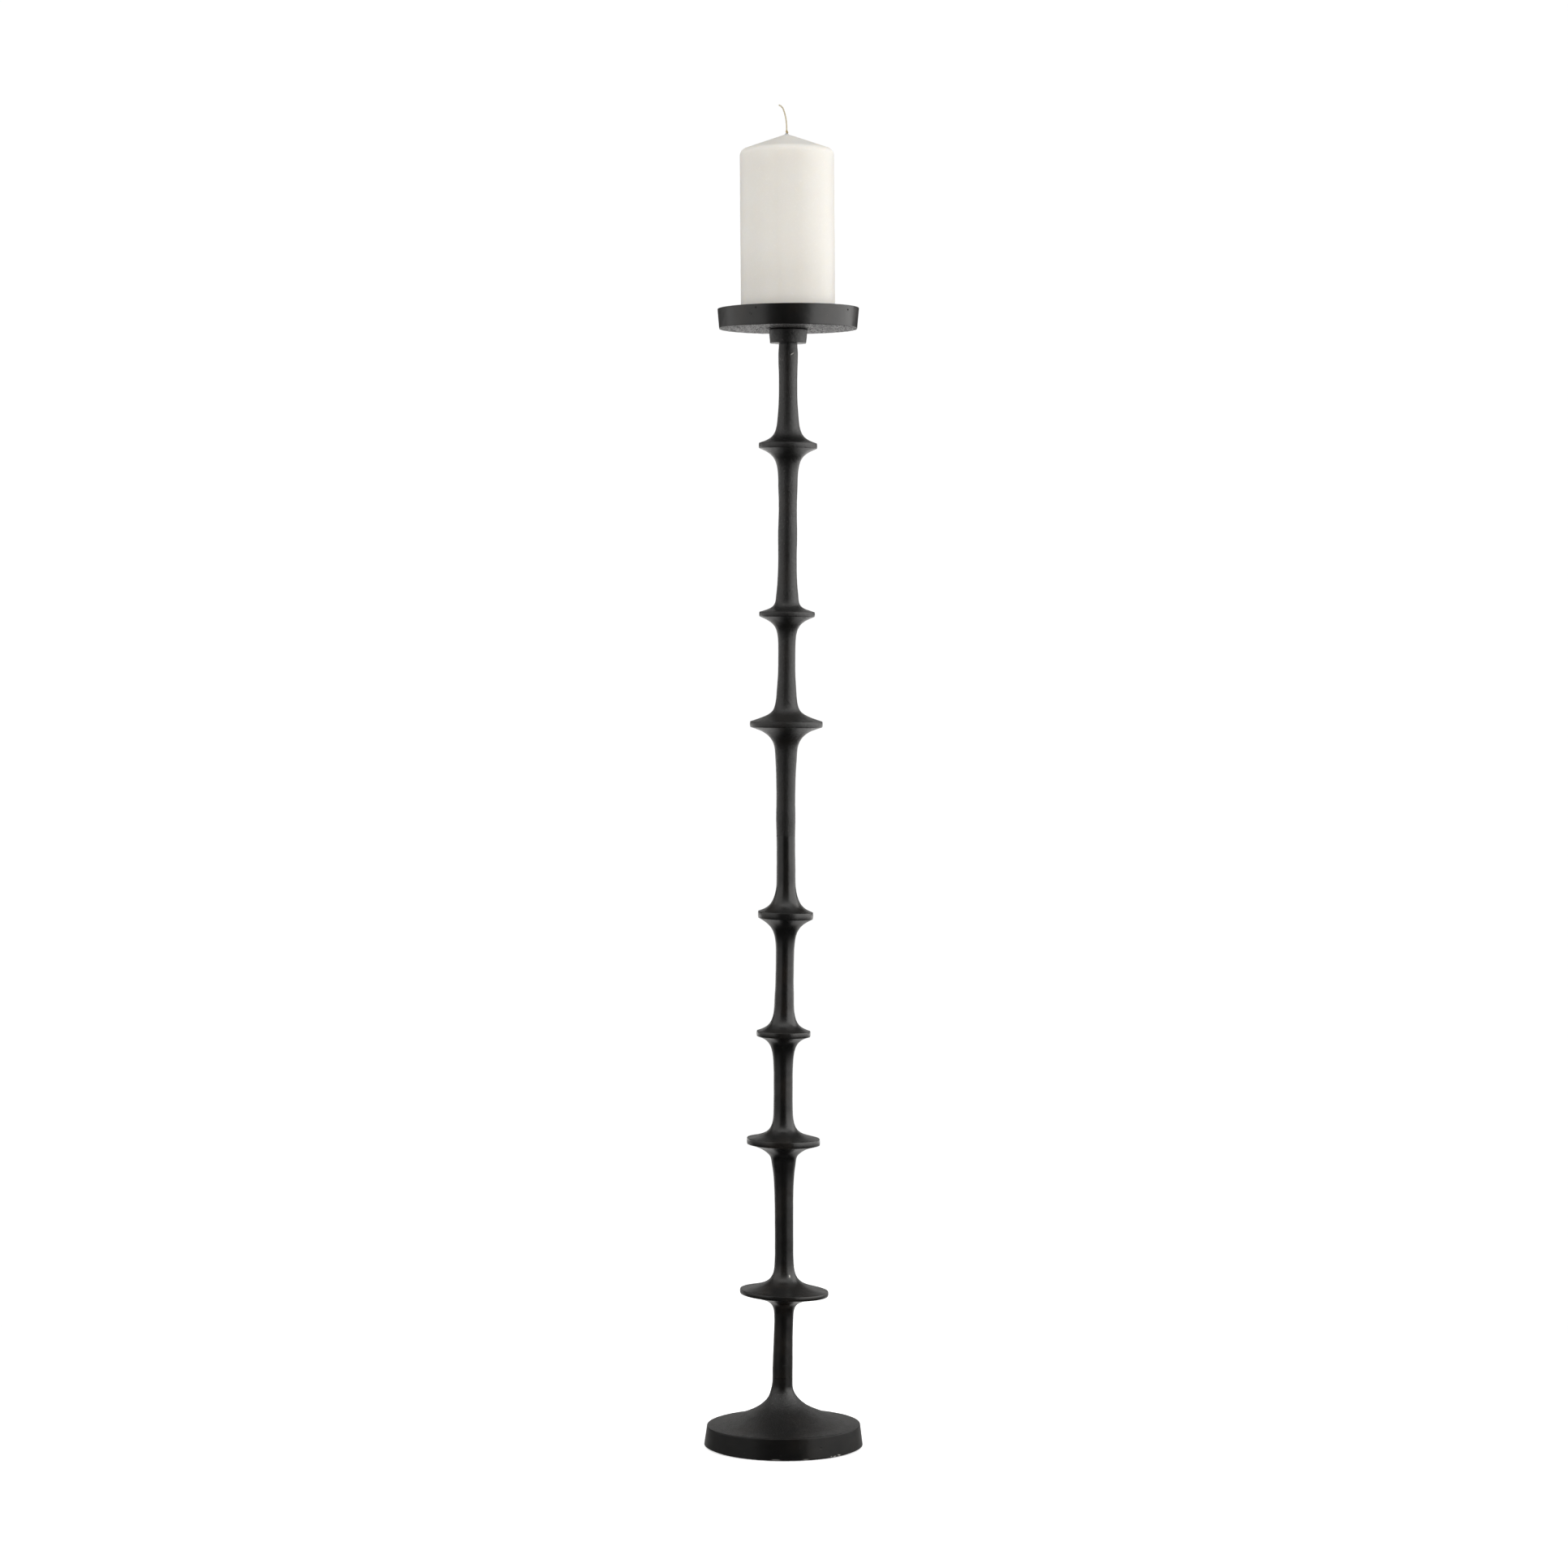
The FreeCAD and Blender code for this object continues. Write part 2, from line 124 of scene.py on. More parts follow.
def noise(points, cell, seed=0):
    """Smooth gradient noise, about -1 to 1, at points in millimetres; cell is the size of one grain."""
    scaled = points / cell + SEED_STEP * seed
    whole = np.floor(scaled).astype(int)
    part = scaled - whole
    ease = part * part * part * (part * (part * 6 - 15) + 10)
    total = np.zeros(len(points))
    for corner in itertools.product((0, 1), repeat=3):
        at = (whole + corner) & 255
        index = SHUFFLE[(SHUFFLE[(SHUFFLE[at[:, 0]] + at[:, 1]) & 255] + at[:, 2]) & 255]
        weight = np.prod(np.where(corner, ease, 1 - ease), axis=1)
        total += weight * np.einsum("ij,ij->i", GRADIENTS[index], part - corner)
    return total * NOISE_GAIN


def clamped(values):
    return np.clip(values, 0, 1)


def slope(degrees):
    return math.tan(math.radians(degrees))


def off_axis(points):
    return np.hypot(points[:, 0], points[:, 1])


def bump_at(distance, reach):
    """1 at no distance, fading to 0 beyond the reach."""
    return np.exp(-(distance / reach) ** 2)


# --- outlines ---
# How finely each piece is meshed: distance between rings, rounding of corners, and columns.
STEM_MESH = (0.96, 0.13, 96)
BASE_MESH = (1.05, 0.3, 250)
COLLAR_MESH = (0.5, 0.2, 200)
PAN_MESH = (0.8, 0.35, 340)
FELT_MESH = (1.0, 0.22, 300)
CANDLE_MESH = (1.25, 0.25, 256)
FINE_STEP = 0.08  # step of the outline while its corners are softened
RINGS_PER_WIDTH = 2.0  # rings, or columns, across the half width of a mark
RINGS_PER_RADIAN = 4.0  # extra rings where the outline bends
CLOSEST_COLUMNS = 1e-4  # columns nearer than this, in radians, become one
END_RING = 0.06  # an extra ring this close to each end keeps a flat joint face's shading off the skin


def bezier(start, near_start, near_end, end, count=160):
    t = np.linspace(0, 1, count)[:, None]
    poles = [np.array(p, float) for p in (start, near_start, near_end, end)]
    return ((1 - t) ** 3 * poles[0] + 3 * t * (1 - t) ** 2 * poles[1]
            + 3 * t * t * (1 - t) * poles[2] + t ** 3 * poles[3])


def arc(start, middle, end, count=12):
    """Shallow curve through three points."""
    start, middle, end = (np.array(p, float) for p in (start, middle, end))
    pull = 2 * middle - (start + end) / 2
    t = np.linspace(0, 1, count)[:, None]
    return (1 - t) ** 2 * start + 2 * t * (1 - t) * pull + t * t * end


def stepped(points, step):
    """The polyline's points at even steps along it."""
    points = np.array(points, float)
    length = np.r_[0, np.cumsum(np.linalg.norm(np.diff(points, axis=0), axis=1))]
    at = np.linspace(0, length[-1], max(2, int(round(length[-1] / step)) + 1))
    return np.column_stack([np.interp(at, length, points[:, k]) for k in (0, 1)])


def columns(fineness, marks=()):
    """Angles round a turned piece: even, with more of them at the marks."""
    segments = fineness[2]
    even = [np.arange(segments) * TURN / segments]
    for centre, _, length, width, *_ in marks:
        radius = math.hypot(centre[0], centre[1])
        reach = length + width
        offsets = np.arange(-reach, reach, width / RINGS_PER_WIDTH) / radius
        even.append(np.mod(math.atan2(centre[1], centre[0]) + offsets, TURN))
    angles = np.sort(np.concatenate(even))
    apart = np.diff(angles, append=angles[0] + TURN)
    return angles[apart > CLOSEST_COLUMNS]


def cast_outline(points, fineness, marks=()):
    """The outline with its corners, not its ends, softened, in rings that crowd at bends and marks."""
    step, rounding, _ = fineness
    fine = stepped(points, FINE_STEP)
    reach = int(math.ceil(3 * rounding / FINE_STEP))
    kernel = np.exp(-0.5 * (np.arange(-reach, reach + 1) * FINE_STEP / rounding) ** 2)
    kernel /= kernel.sum()
    before = 2 * fine[0] - fine[reach:0:-1]
    after = 2 * fine[-1] - fine[-2:-reach - 2:-1]
    padded = np.vstack([before, fine, after])
    soft = np.column_stack([np.convolve(padded[:, k], kernel, "valid") for k in (0, 1)])
    soft[0], soft[-1] = fine[0], fine[-1]
    run = np.diff(soft, axis=0)
    heading = np.unwrap(np.arctan2(run[:, 1], run[:, 0]))
    turning = np.r_[0, np.abs(np.diff(heading))]
    rings = np.linalg.norm(run, axis=1) / step + turning * RINGS_PER_RADIAN
    for centre, _, length, width, *_ in marks:
        away = np.hypot(soft[:-1, 0] - math.hypot(centre[0], centre[1]), soft[:-1, 1] - centre[2])
        near = bump_at(away, length + width)
        rings += np.linalg.norm(run, axis=1) * near * RINGS_PER_WIDTH / width
    measure = np.r_[0, np.cumsum(rings)]
    at = np.linspace(0, measure[-1], int(round(measure[-1])) + 1)
    at = np.r_[at[0], END_RING, at[1:-1], at[-1] - END_RING, at[-1]]
    return np.column_stack([np.interp(at, measure, soft[:, k]) for k in (0, 1)])


# --- meshes ---
def mesh_piece(name, points_mm, faces, material, body, slot, node=None, skin=None):
    """A smooth-shaded piece on a body, from points in millimetres, that may stand for a CAD node.

    skin has two columns, how much bare metal and painted glint and how grainy each point is, which the
    casting material reads."""
    mesh = bpy.data.meshes.new(name)
    mesh.from_pydata((points_mm * MM).tolist(), [], faces)
    mesh.polygons.foreach_set("use_smooth", np.ones(len(mesh.polygons), bool))
    if skin is not None:
        for attribute, values in zip(("wear_and_glint", "grain"), skin.T.astype(np.float32)):
            mesh.attributes.new(attribute, "FLOAT", "POINT").data.foreach_set("value", values.copy())
    mesh.materials.append(material)
    mesh.update()
    piece = bpy.data.objects.new(name, mesh)
    bpy.context.scene.collection.objects.link(piece)
    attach(piece, body)
    if node is not None:
        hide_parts(node)
    return piece


def turned(outer, inner, angle, deform):
    """Points, faces and skin of a solid turned about Z, from an outer outline, which deform changes,
    and a hidden inner one.

    They run down the outside and back up the inside. A solid with no way through starts and ends on
    the axis."""
    outline = np.vstack([outer, np.array(inner, float).reshape(-1, 2)])
    closed = outline[0, 0] > 0
    ahead = np.vstack([outer[1:], outer[-1:]]) - np.vstack([outer[:1], outer[:-1]])
    ahead /= np.linalg.norm(ahead, axis=1)[:, None]
    segments = len(angle)
    rows = outline if closed else outline[1:-1]
    first = 0 if closed else 1
    radius, height = rows[:, 0:1], rows[:, 1:2]
    grid = np.stack([radius * np.cos(angle), radius * np.sin(angle),
                     np.broadcast_to(height, (len(rows), segments))], axis=2)
    skin_rows = min(len(outer) - first, len(rows))
    out = -ahead[first:first + skin_rows, 1:2]
    up = ahead[first:first + skin_rows, 0:1]
    normal = np.stack([out * np.cos(angle), out * np.sin(angle),
                       np.broadcast_to(up, (skin_rows, segments))], axis=2)
    moved, skin = deform(grid[:skin_rows].reshape(-1, 3), normal.reshape(-1, 3))
    points = np.vstack([moved, grid[skin_rows:].reshape(-1, 3)])
    skin = np.vstack([skin, np.zeros((len(points) - len(skin), 2))])
    faces = []
    count = len(rows)
    around = np.arange(segments)
    beside = (around + 1) % segments
    for i in range(count if closed else count - 1):
        a, b = i * segments, (i + 1) % count * segments
        faces += np.column_stack([a + around, b + around, b + beside, a + beside]).tolist()
    if not closed:
        points = np.vstack([points, [0, 0, outline[0, 1]], [0, 0, outline[-1, 1]]])
        skin = np.vstack([skin, np.zeros((2, 2))])
        top, bottom, last = len(points) - 2, len(points) - 1, (count - 1) * segments
        faces += [[top, int(j), int(k)] for j, k in zip(around, beside)]
        faces += [[bottom, int(last + k), int(last + j)] for j, k in zip(around, beside)]
    return points, faces, skin


def holder_casting(node, material, slot, fineness, start, outline, inner, deform, marks=()):
    """The piece that stands for a casting's CAD node: start runs out of its first bore to the skin,
    outline down the skin, and inner back up inside."""
    outer = cast_outline(outline, fineness, marks)
    angles = columns(fineness, marks)
    start = np.array(start, float)
    hidden = (len(start) - int(start[0, 0] == 0)) * len(angles)

    def deform_skin(points, normals):
        moved, skin = deform(points, normals)
        moved[:hidden] = points[:hidden]
        return moved, skin

    points, faces, skin = turned(np.vstack([start, outer]), inner, angles, deform_skin)
    return mesh_piece(node + "_cast", points, faces, material, "holder", slot, node, skin)


# --- how a casting differs from its drawing ---
FINE_GRAIN = 0.53  # a second, finer grain and its depth, as shares of the first
FINE_GRAIN_DEPTH = 0.6
PATCH_CELL = 11.0  # the grain is deeper in some patches and shallower in others
LUMP_CELL = 9.0
SMALL_LUMP_CELL = 4.0
JOINT_REACH = 2.5  # the skin runs true this near to a joint
SEAM_CELL = 3.5  # the seam at the base's joint is open in some places
SEAM_DEPTH = 0.16
SEAM_WIDTH = 0.4


def wander(height):
    """How far the centre line stands towards +X and +Y, with the kinks softened."""
    at, x, y = (np.array(column, float) for column in zip(*WANDER))
    heights = [height + offset for offset in KINK_OFFSETS]
    return np.mean([(np.interp(h, at, x), np.interp(h, at, y)) for h in heights], axis=0)


def mark(points, centre, along, length, width):
    """1 on a small straight mark on the surface, fading to 0 around it."""
    along = np.array(along, float) / np.linalg.norm(along)
    offset = points - np.array(centre, float)
    run = offset @ along
    aside = np.linalg.norm(offset - run[:, None] * along, axis=1)
    return np.exp(-(run / length) ** 4 - (aside / width) ** 2)


def casting(grain, grain_depth, lumps, seed, discs=(), marks=(), grainy=1.0, follow=True):
    """A deform function for turned: lumps and grain in the skin, tilted discs and the stem's wander.

    The skin runs true at the joints, so that neighbours meet. Only what follows the stem wanders and
    is filed."""
    def deform(points, normals):
        fine = (noise(points, grain, seed + 1)
                + FINE_GRAIN_DEPTH * noise(points, grain * FINE_GRAIN, seed + 2))
        patchy = 0.75 + 0.5 * noise(points, PATCH_CELL, seed + 3)
        push = grain_depth * fine * patchy
        push += (lumps * noise(points, LUMP_CELL, seed + 4)
                 + 0.5 * lumps * noise(points, SMALL_LUMP_CELL, seed + 5))
        wear_and_glint = np.zeros(len(points))
        # Each mark dents the skin and gives its share of pale bare metal and painted glint.
        for centre, along, length, width, depth, bare_and_glint in marks:
            here = mark(points, centre, along, length, width)
            push -= depth * here
            wear_and_glint = np.maximum(wear_and_glint, bare_and_glint * here)
        for joint in (BASE_JOINT, STEM_JOINT):
            push *= 1 - bump_at(points[:, 2] - joint, JOINT_REACH)
        broken = clamped(1.6 * noise(points, SEAM_CELL, seed=3))
        push -= SEAM_DEPTH * broken * bump_at(points[:, 2] - BASE_JOINT, SEAM_WIDTH)
        if follow:
            stem_part = clamped((FILING_RADIUS - off_axis(points)) / FILING_FADE)
            for height, reach, amount in FILING:
                push += amount * bump_at(points[:, 2] - height, reach) * stem_part
        moved = points + normals * push[:, None]
        for height, *_, tilt in discs:
            near = bump_at(points[:, 2] - height, TILT_REACH)
            moved[:, 2] -= slope(tilt) * points[:, 0] * near
        if follow:
            x, y = wander(points[:, 2])
            moved[:, 0] += x
            moved[:, 1] += y
        return moved, np.column_stack([wear_and_glint, np.full(len(points), grainy)])
    return deform


# --- stem ---
# Marks on the castings: centre, direction, length, width, depth, and how much pale colour shows,
# which is bare metal at chips and a painted glint at some nicks.
UPPER_MARKS = [
    # The nick under the collar is real; its pale colour is a painted glint.
    ((3.4, -7.0, 877.9), (0.85, 0.3, 0.6), 1.5, 0.27, 0.30, 1.0),
    ((-4.6, -6.3, 873.0), (1, 0.7, -0.1), 1.1, 0.35, 0.22, 0.25),
]
LOWER_MARKS = [
    # The shallow dent above the lowest disc carries a painted glint in its pale colour.
    ((4.4, -8.4, 138.7), (0.1, 0, 1), 1.3, 0.5, 0.08, 0.9),
    ((2.6, -7.2, 54.8), (1, 0.3, 0.2), 0.5, 0.3, 0.10, 0.5),
    ((1.2, -7.6, 66.2), (1, 0.1, 0.1), 1.3, 0.3, 0.12, 0.15),
]


def flare(waist, rim, angle, pull, side):
    """Curve from a waist of the stem to a disc's rim, above (side 1) or below (side -1) the disc."""
    knee = (waist[0], rim[1] + side * (rim[0] - waist[0]) * slope(angle))
    near_waist = (waist[0], waist[1] + pull * (knee[1] - waist[1]))
    return bezier(waist, near_waist, knee, rim)


def discs_outline(discs, waists):
    """Outer outline down the stem from the first waist to the last."""
    runs = []
    for disc, above, below in zip(discs, waists[:-1], waists[1:]):
        height, radius, thickness, slope_above, slope_below, pull_above, pull_below, _ = disc
        upper = (radius - RIM_CROWN, height + thickness / 2)
        lower = (radius - RIM_CROWN, height - thickness / 2)
        runs.append(flare(above, upper, slope_above, pull_above, 1))
        runs.append(arc(upper, (radius, height), lower))
        runs.append(flare(below, lower, slope_below, pull_below, -1)[::-1])
    return np.vstack(runs)


def soft_step(upper, lower):
    """Outline that eases from one radius of the stem to another."""
    middle = (upper[1] + lower[1]) / 2
    return bezier(upper, (upper[0], middle), (lower[0], middle), lower, count=24)


def upper_stem(material):
    mouth = (STEM_TOP_RADIUS, COLLAR_BOTTOM)
    outline = np.vstack([
        [(STEM_TOP_RADIUS, STEM_TOP)], soft_step(mouth, SWELL), soft_step(SWELL, UPPER_WAISTS[0]),
        discs_outline(UPPER_DISCS, UPPER_WAISTS),
    ])
    hole_end = STEM_JOINT + STUD_REACH
    inner = [(TAPPED_M8, STEM_JOINT), (TAPPED_M8, hole_end), (0, hole_end + DRILL_TIP * TAPPED_M8)]
    start = [(0, SCREW_HOLE_END - DRILL_TIP * TAPPED_M6), (TAPPED_M6, SCREW_HOLE_END),
             (TAPPED_M6, STEM_TOP)]
    deform = casting(1.9, 0.04, lumps=0.06, seed=10, discs=UPPER_DISCS, marks=UPPER_MARKS)
    holder_casting("upper_stem", material, "rough_casting", STEM_MESH, start, outline, inner, deform,
                   UPPER_MARKS)


def lower_stem(material):
    foot = (NECK_RADIUS, BASE_JOINT)
    outline = np.vstack([discs_outline(LOWER_DISCS, LOWER_WAISTS), soft_step(LOWER_WAISTS[-1], foot)])
    inner = [(TAPPED_M8, BASE_JOINT), (TAPPED_M8, BOLT_HOLE_TOP),
             (0, BOLT_HOLE_TOP + DRILL_TIP * TAPPED_M8)]
    hole_end = STEM_JOINT - STUD_REACH
    start = [(0, hole_end - DRILL_TIP * TAPPED_M8), (TAPPED_M8, hole_end), (TAPPED_M8, STEM_JOINT)]
    deform = casting(1.5, 0.02, lumps=0.07, seed=20, discs=LOWER_DISCS, marks=LOWER_MARKS, grainy=0.09)
    holder_casting("lower_stem", material, "smooth_casting", STEM_MESH, start, outline, inner, deform,
                   LOWER_MARKS)


# --- base ---
RIM_RADIUS, RIM_HEIGHT = 61.8, 17.6
BELL_SLOPE = 13.6  # degrees, the bell's outer part
NECK_START = 49.3
NECK_PULL = 0.73  # how near the bell's two ends pull its curve to their knee
RIM_PULL = 0.66
BASE_WALL = 4.5
BOSS_RADIUS = 13.0
BOSS_HEIGHT = cad("base_washer")[2]
FELT_LAP = 1.0  # the foot's flat goes in this far over the felt's edge
FOOT_FLAT = 0.02  # what is this near the foot's flat stays flat
BASE_TILT = 0.6  # the bell's rim stands higher towards +X, degrees
TILT_SPREAD = 20  # width of the ring outside the neck in which that tilt sets in
WALL_SKIN_TOP = 0.6  # the wall's smooth skin fades out this far above the rim
# The neck's smooth skin: how far under the neck's start it begins, and over what height it fades in.
NECK_SKIN_START, NECK_SKIN_FADE = 6, 5
# The bell is lower than drawn: by how much, between which two radii, and over what width it fades.
BELL_DIP, DIP_START, DIP_END, DIP_FADE = 0.55, 11, 60, 8
# The neck's foot is fuller towards -X: by how much, at what height, and how far up and down.
FULLER_NECK, FULLER_HEIGHT, FULLER_REACH = 0.9, 45, 5
BASE_MARKS = [
    ((41.0, -49.2, 1.4), (0.76, 0.65, 0.1), 1.2, 0.5, 0.40, 0.6),
    ((44.6, -45.9, 2.0), (0.72, 0.69, -0.2), 1.5, 0.35, 0.30, 0.55),
    ((38.2, -51.4, 1.9), (0.8, 0.6, 0.3), 0.6, 0.3, 0.20, 0.45),
    ((-6.0, -63.7, 1.3), (1, -0.1, 0), 3.0, 0.5, 0.10, 0.22),
    ((18.0, -61.4, 1.3), (1, 0.3, 0), 2.2, 0.5, 0.10, 0.22),
    ((29.5, -55.3, 9.2), (1, 0.5, 0), 0.45, 0.40, 0.35, 0.0),
    ((57.0, -26.2, 12.5), (0.4, 0.9, 0), 0.4, 0.40, 0.35, 0.0),
    ((12.0, -61.8, 13.0), (1, 0.2, 0), 0.3, 0.30, 0.2, 0.0),
    ((-22.0, -58.9, 10.0), (1, -0.4, 0), 0.3, 0.30, 0.2, 0.0),
]


def paint_wall(piece, material):
    """Gives the base's wall, below its rim, a less glossy copy of the casting, which paints in the
    wall's shade.
    """
    mesh = piece.data
    mesh.materials.append(material)
    centres = np.zeros(len(mesh.polygons) * 3)
    mesh.polygons.foreach_get("center", centres)
    x, _, z = centres.reshape(-1, 3).T / MM
    below_rim = z < RIM_HEIGHT + slope(BASE_TILT) * x
    mesh.polygons.foreach_set("material_index", below_rim.astype(np.int32))


def base_skin(points, normals):
    """Deforms the base: a coarse bell between a smooth wall and a smooth neck, tilted and dipped."""
    coarse = casting(2.4, 0.05, lumps=0.06, seed=30, follow=False)
    smooth = casting(1.3, 0.012, lumps=0.04, seed=31, marks=BASE_MARKS, grainy=0.06, follow=False)
    bell, bell_skin = coarse(points, normals)
    wall, wall_skin = smooth(points, normals)
    height = points[:, 2]
    reach = off_axis(points)
    on_wall = clamped(RIM_HEIGHT + WALL_SKIN_TOP - height)
    on_neck = clamped((height - NECK_START + NECK_SKIN_START) / NECK_SKIN_FADE)
    even = np.maximum(on_wall, on_neck)[:, None]
    moved = wall * even + bell * (1 - even)
    lift = clamped((height - BASE_BOTTOM) / (RIM_HEIGHT - BASE_BOTTOM))
    spread = clamped((reach - NECK_RADIUS) / TILT_SPREAD)
    moved[:, 2] += slope(BASE_TILT) * points[:, 0] * lift * spread
    beyond_start = clamped((reach - DIP_START) / DIP_FADE)
    before_end = clamped((DIP_END - reach) / DIP_FADE)
    moved[:, 2] -= BELL_DIP * beyond_start * before_end * (1 - on_wall)
    x, y = wander(height)
    moved[:, 0] += x * (1 - spread)
    moved[:, 1] += y * (1 - spread)
    fuller = FULLER_NECK * bump_at(height - FULLER_HEIGHT, FULLER_REACH) * (1 - spread)
    moved[:, 0] -= fuller * clamped(-points[:, 0] / NECK_RADIUS)
    flat = height <= BASE_BOTTOM + FOOT_FLAT
    moved[flat, 2] = points[flat, 2]
    return moved, wall_skin * even + bell_skin * (1 - even)


def base(material, shaded_wall_material):
    rise = slope(BELL_SLOPE)
    rim = (RIM_RADIUS, RIM_HEIGHT)
    neck = (NECK_RADIUS, NECK_START)
    knee = (NECK_RADIUS, rim[1] + (rim[0] - neck[0]) * rise)
    near_neck = (NECK_RADIUS, neck[1] + NECK_PULL * (knee[1] - neck[1]))
    near_rim = (rim[0] + RIM_PULL * (knee[0] - rim[0]), rim[1] + RIM_PULL * (knee[1] - rim[1]))
    outline = np.vstack([
        [(NECK_RADIUS, BASE_JOINT)], bezier(neck, near_neck, near_rim, rim),
        [(FOOT_RADIUS, BASE_BOTTOM), (FELT_RADIUS - FELT_LAP, BASE_BOTTOM)],
    ])
    roof = (RIM_RADIUS - BASE_WALL, RIM_HEIGHT - BASE_WALL)
    roof_inner = (BOSS_RADIUS, roof[1] + (roof[0] - BOSS_RADIUS) * rise)
    inner = [(FOOT_RADIUS - BASE_WALL, BASE_BOTTOM), roof, roof_inner,
             (BOSS_RADIUS, BOSS_HEIGHT), (CLEAR_M8, BOSS_HEIGHT)]
    piece = holder_casting("base", material, "rough_casting", BASE_MESH, [(CLEAR_M8, BASE_JOINT)],
                           outline, inner, base_skin, BASE_MARKS)
    paint_wall(piece, shaded_wall_material)


# --- collar and pan ---
COLLAR_FOOT_RADIUS = 14.4
COLLAR_CHAMFER = 0.7
COLLAR_LAND = 1.0  # width of the collar's top that shows at the crevice under the pan
SOCKET_RADIUS = STEM_TOP_RADIUS + 0.1
PAN_SEAT = CANDLE_BOTTOM
PAN_FOOT_RADIUS, PAN_INNER_RIM, PAN_INNER_FLOOR = 55.1, 53.0, 52.0
PAN_FILLET = 3.0  # between floor and wall
PAN_FILLET_MIDDLE = (-0.8, 0.9)  # a point that it goes through, from the floor's edge
PAN_FILLET_END = 0.2  # how far outside the floor's edge it meets the wall
# Recess for the screw's head: radius, straight depth, whole depth, and the hole below it.
HEAD_RADIUS, HEAD_LAND, HEAD_DEPTH, SCREW_HOLE_LENGTH = 6.05, 0.6, 3.4, 1.6
# The pan stands higher towards +X: tilt of its floor and what its rim adds, in degrees.
PAN_FLOOR_TILT, PAN_RIM_TILT = 0.25, 0.45
FLOOR_TILT_FADE = 8  # width of the ring outside the collar in which the floor's tilt sets in
RIM_TILT_START = 3  # how far outside the candle the rim's tilt starts to set in
RIM_TILT_FADE = 10
UNDERSIDE_EDGE = 0.5  # the underside's coarse skin fades out over this much of the wall
PAN_MARKS = [
    ((-25.5, -50.2, 911.3), (1, -0.5, 0), 0.3, 0.45, 0.9, 0.0),
    ((47.3, -30.6, 910.6), (0.5, 0.8, 0.4), 0.45, 0.5, 1.0, 0.0),
    ((-28.9, -47.9, 906.4), (0.6, -0.4, 0.8), 0.7, 0.30, 0.25, 0.0),
    ((-30.1, -47.2, 907.2), (0.6, -0.4, 0.8), 0.6, 0.28, 0.22, 0.0),
    ((5.9, -55.9, 905.0), (1, 0.1, 0), 0.35, 0.30, 0.25, 0.0),
]


def pan_collar(material):
    land = COLLAR_RADIUS - COLLAR_CHAMFER
    outline = [(land - COLLAR_LAND, COLLAR_TOP), (land, COLLAR_TOP),
               (COLLAR_RADIUS, COLLAR_TOP - COLLAR_CHAMFER), (COLLAR_FOOT_RADIUS, COLLAR_BOTTOM),
               (SOCKET_RADIUS, COLLAR_BOTTOM)]
    inner = [(SOCKET_RADIUS, STEM_TOP), (CLEAR_M6, STEM_TOP)]
    deform = casting(1.2, 0.09, lumps=0.1, seed=40, follow=False)
    holder_casting("pan_collar", material, "rough_casting", COLLAR_MESH, [(CLEAR_M6, COLLAR_TOP)],
                   outline, inner, deform)


def pan_skin(points, normals):
    """Deforms the pan: a smooth wall, a coarse underside, and a floor and a rim that tilt."""
    smooth = casting(1.4, 0.012, lumps=0.04, seed=50, marks=PAN_MARKS, grainy=0.05, follow=False)
    coarse = casting(1.2, 0.13, lumps=0.06, seed=51, grainy=2.2, follow=False)
    wall, wall_skin = smooth(points, normals)
    under, under_skin = coarse(points, normals)
    height = points[:, 2]
    reach = off_axis(points)
    below = clamped((PAN_BOTTOM + UNDERSIDE_EDGE - height) / UNDERSIDE_EDGE)[:, None]
    moved = wall * (1 - below) + under * below
    lift = clamped((height - PAN_BOTTOM) / (PAN_TOP - PAN_BOTTOM))
    outside = clamped((reach - CANDLE_RADIUS - RIM_TILT_START) / RIM_TILT_FADE)
    beyond_collar = clamped((reach - COLLAR_RADIUS) / FLOOR_TILT_FADE)
    level = slope(PAN_FLOOR_TILT) * beyond_collar * (1 - lift * (1 - outside))
    moved[:, 2] += (level + slope(PAN_RIM_TILT) * lift * outside) * points[:, 0]
    return moved, wall_skin * (1 - below) + under_skin * below


def pan(material):
    middle_in, middle_up = PAN_FILLET_MIDDLE
    fillet = arc((PAN_INNER_FLOOR - PAN_FILLET, PAN_SEAT),
                 (PAN_INNER_FLOOR + middle_in, PAN_SEAT + middle_up),
                 (PAN_INNER_FLOOR + PAN_FILLET_END, PAN_SEAT + PAN_FILLET))
    outline = np.vstack([
        [(HEAD_RADIUS, PAN_SEAT - HEAD_LAND), (HEAD_RADIUS, PAN_SEAT)], fillet,
        [(PAN_INNER_RIM, PAN_TOP), (PAN_RADIUS, PAN_TOP), (PAN_FOOT_RADIUS, PAN_BOTTOM),
         (COLLAR_RADIUS, PAN_BOTTOM)],
    ])
    inner = [(CLEAR_M6, PAN_BOTTOM), (CLEAR_M6, PAN_BOTTOM + SCREW_HOLE_LENGTH)]
    start = [(CLEAR_M6, PAN_SEAT - HEAD_DEPTH)]
    holder_casting("pan", material, "smooth_casting", PAN_MESH, start, outline, inner, pan_skin,
                   PAN_MARKS)


# --- felt ---
# The felt's uneven edge: depth, size of one tuft, and how far in from the edge it goes.
FUZZ_DEPTH, FUZZ_CELL, FUZZ_REACH = 0.12, 0.9, 1.2


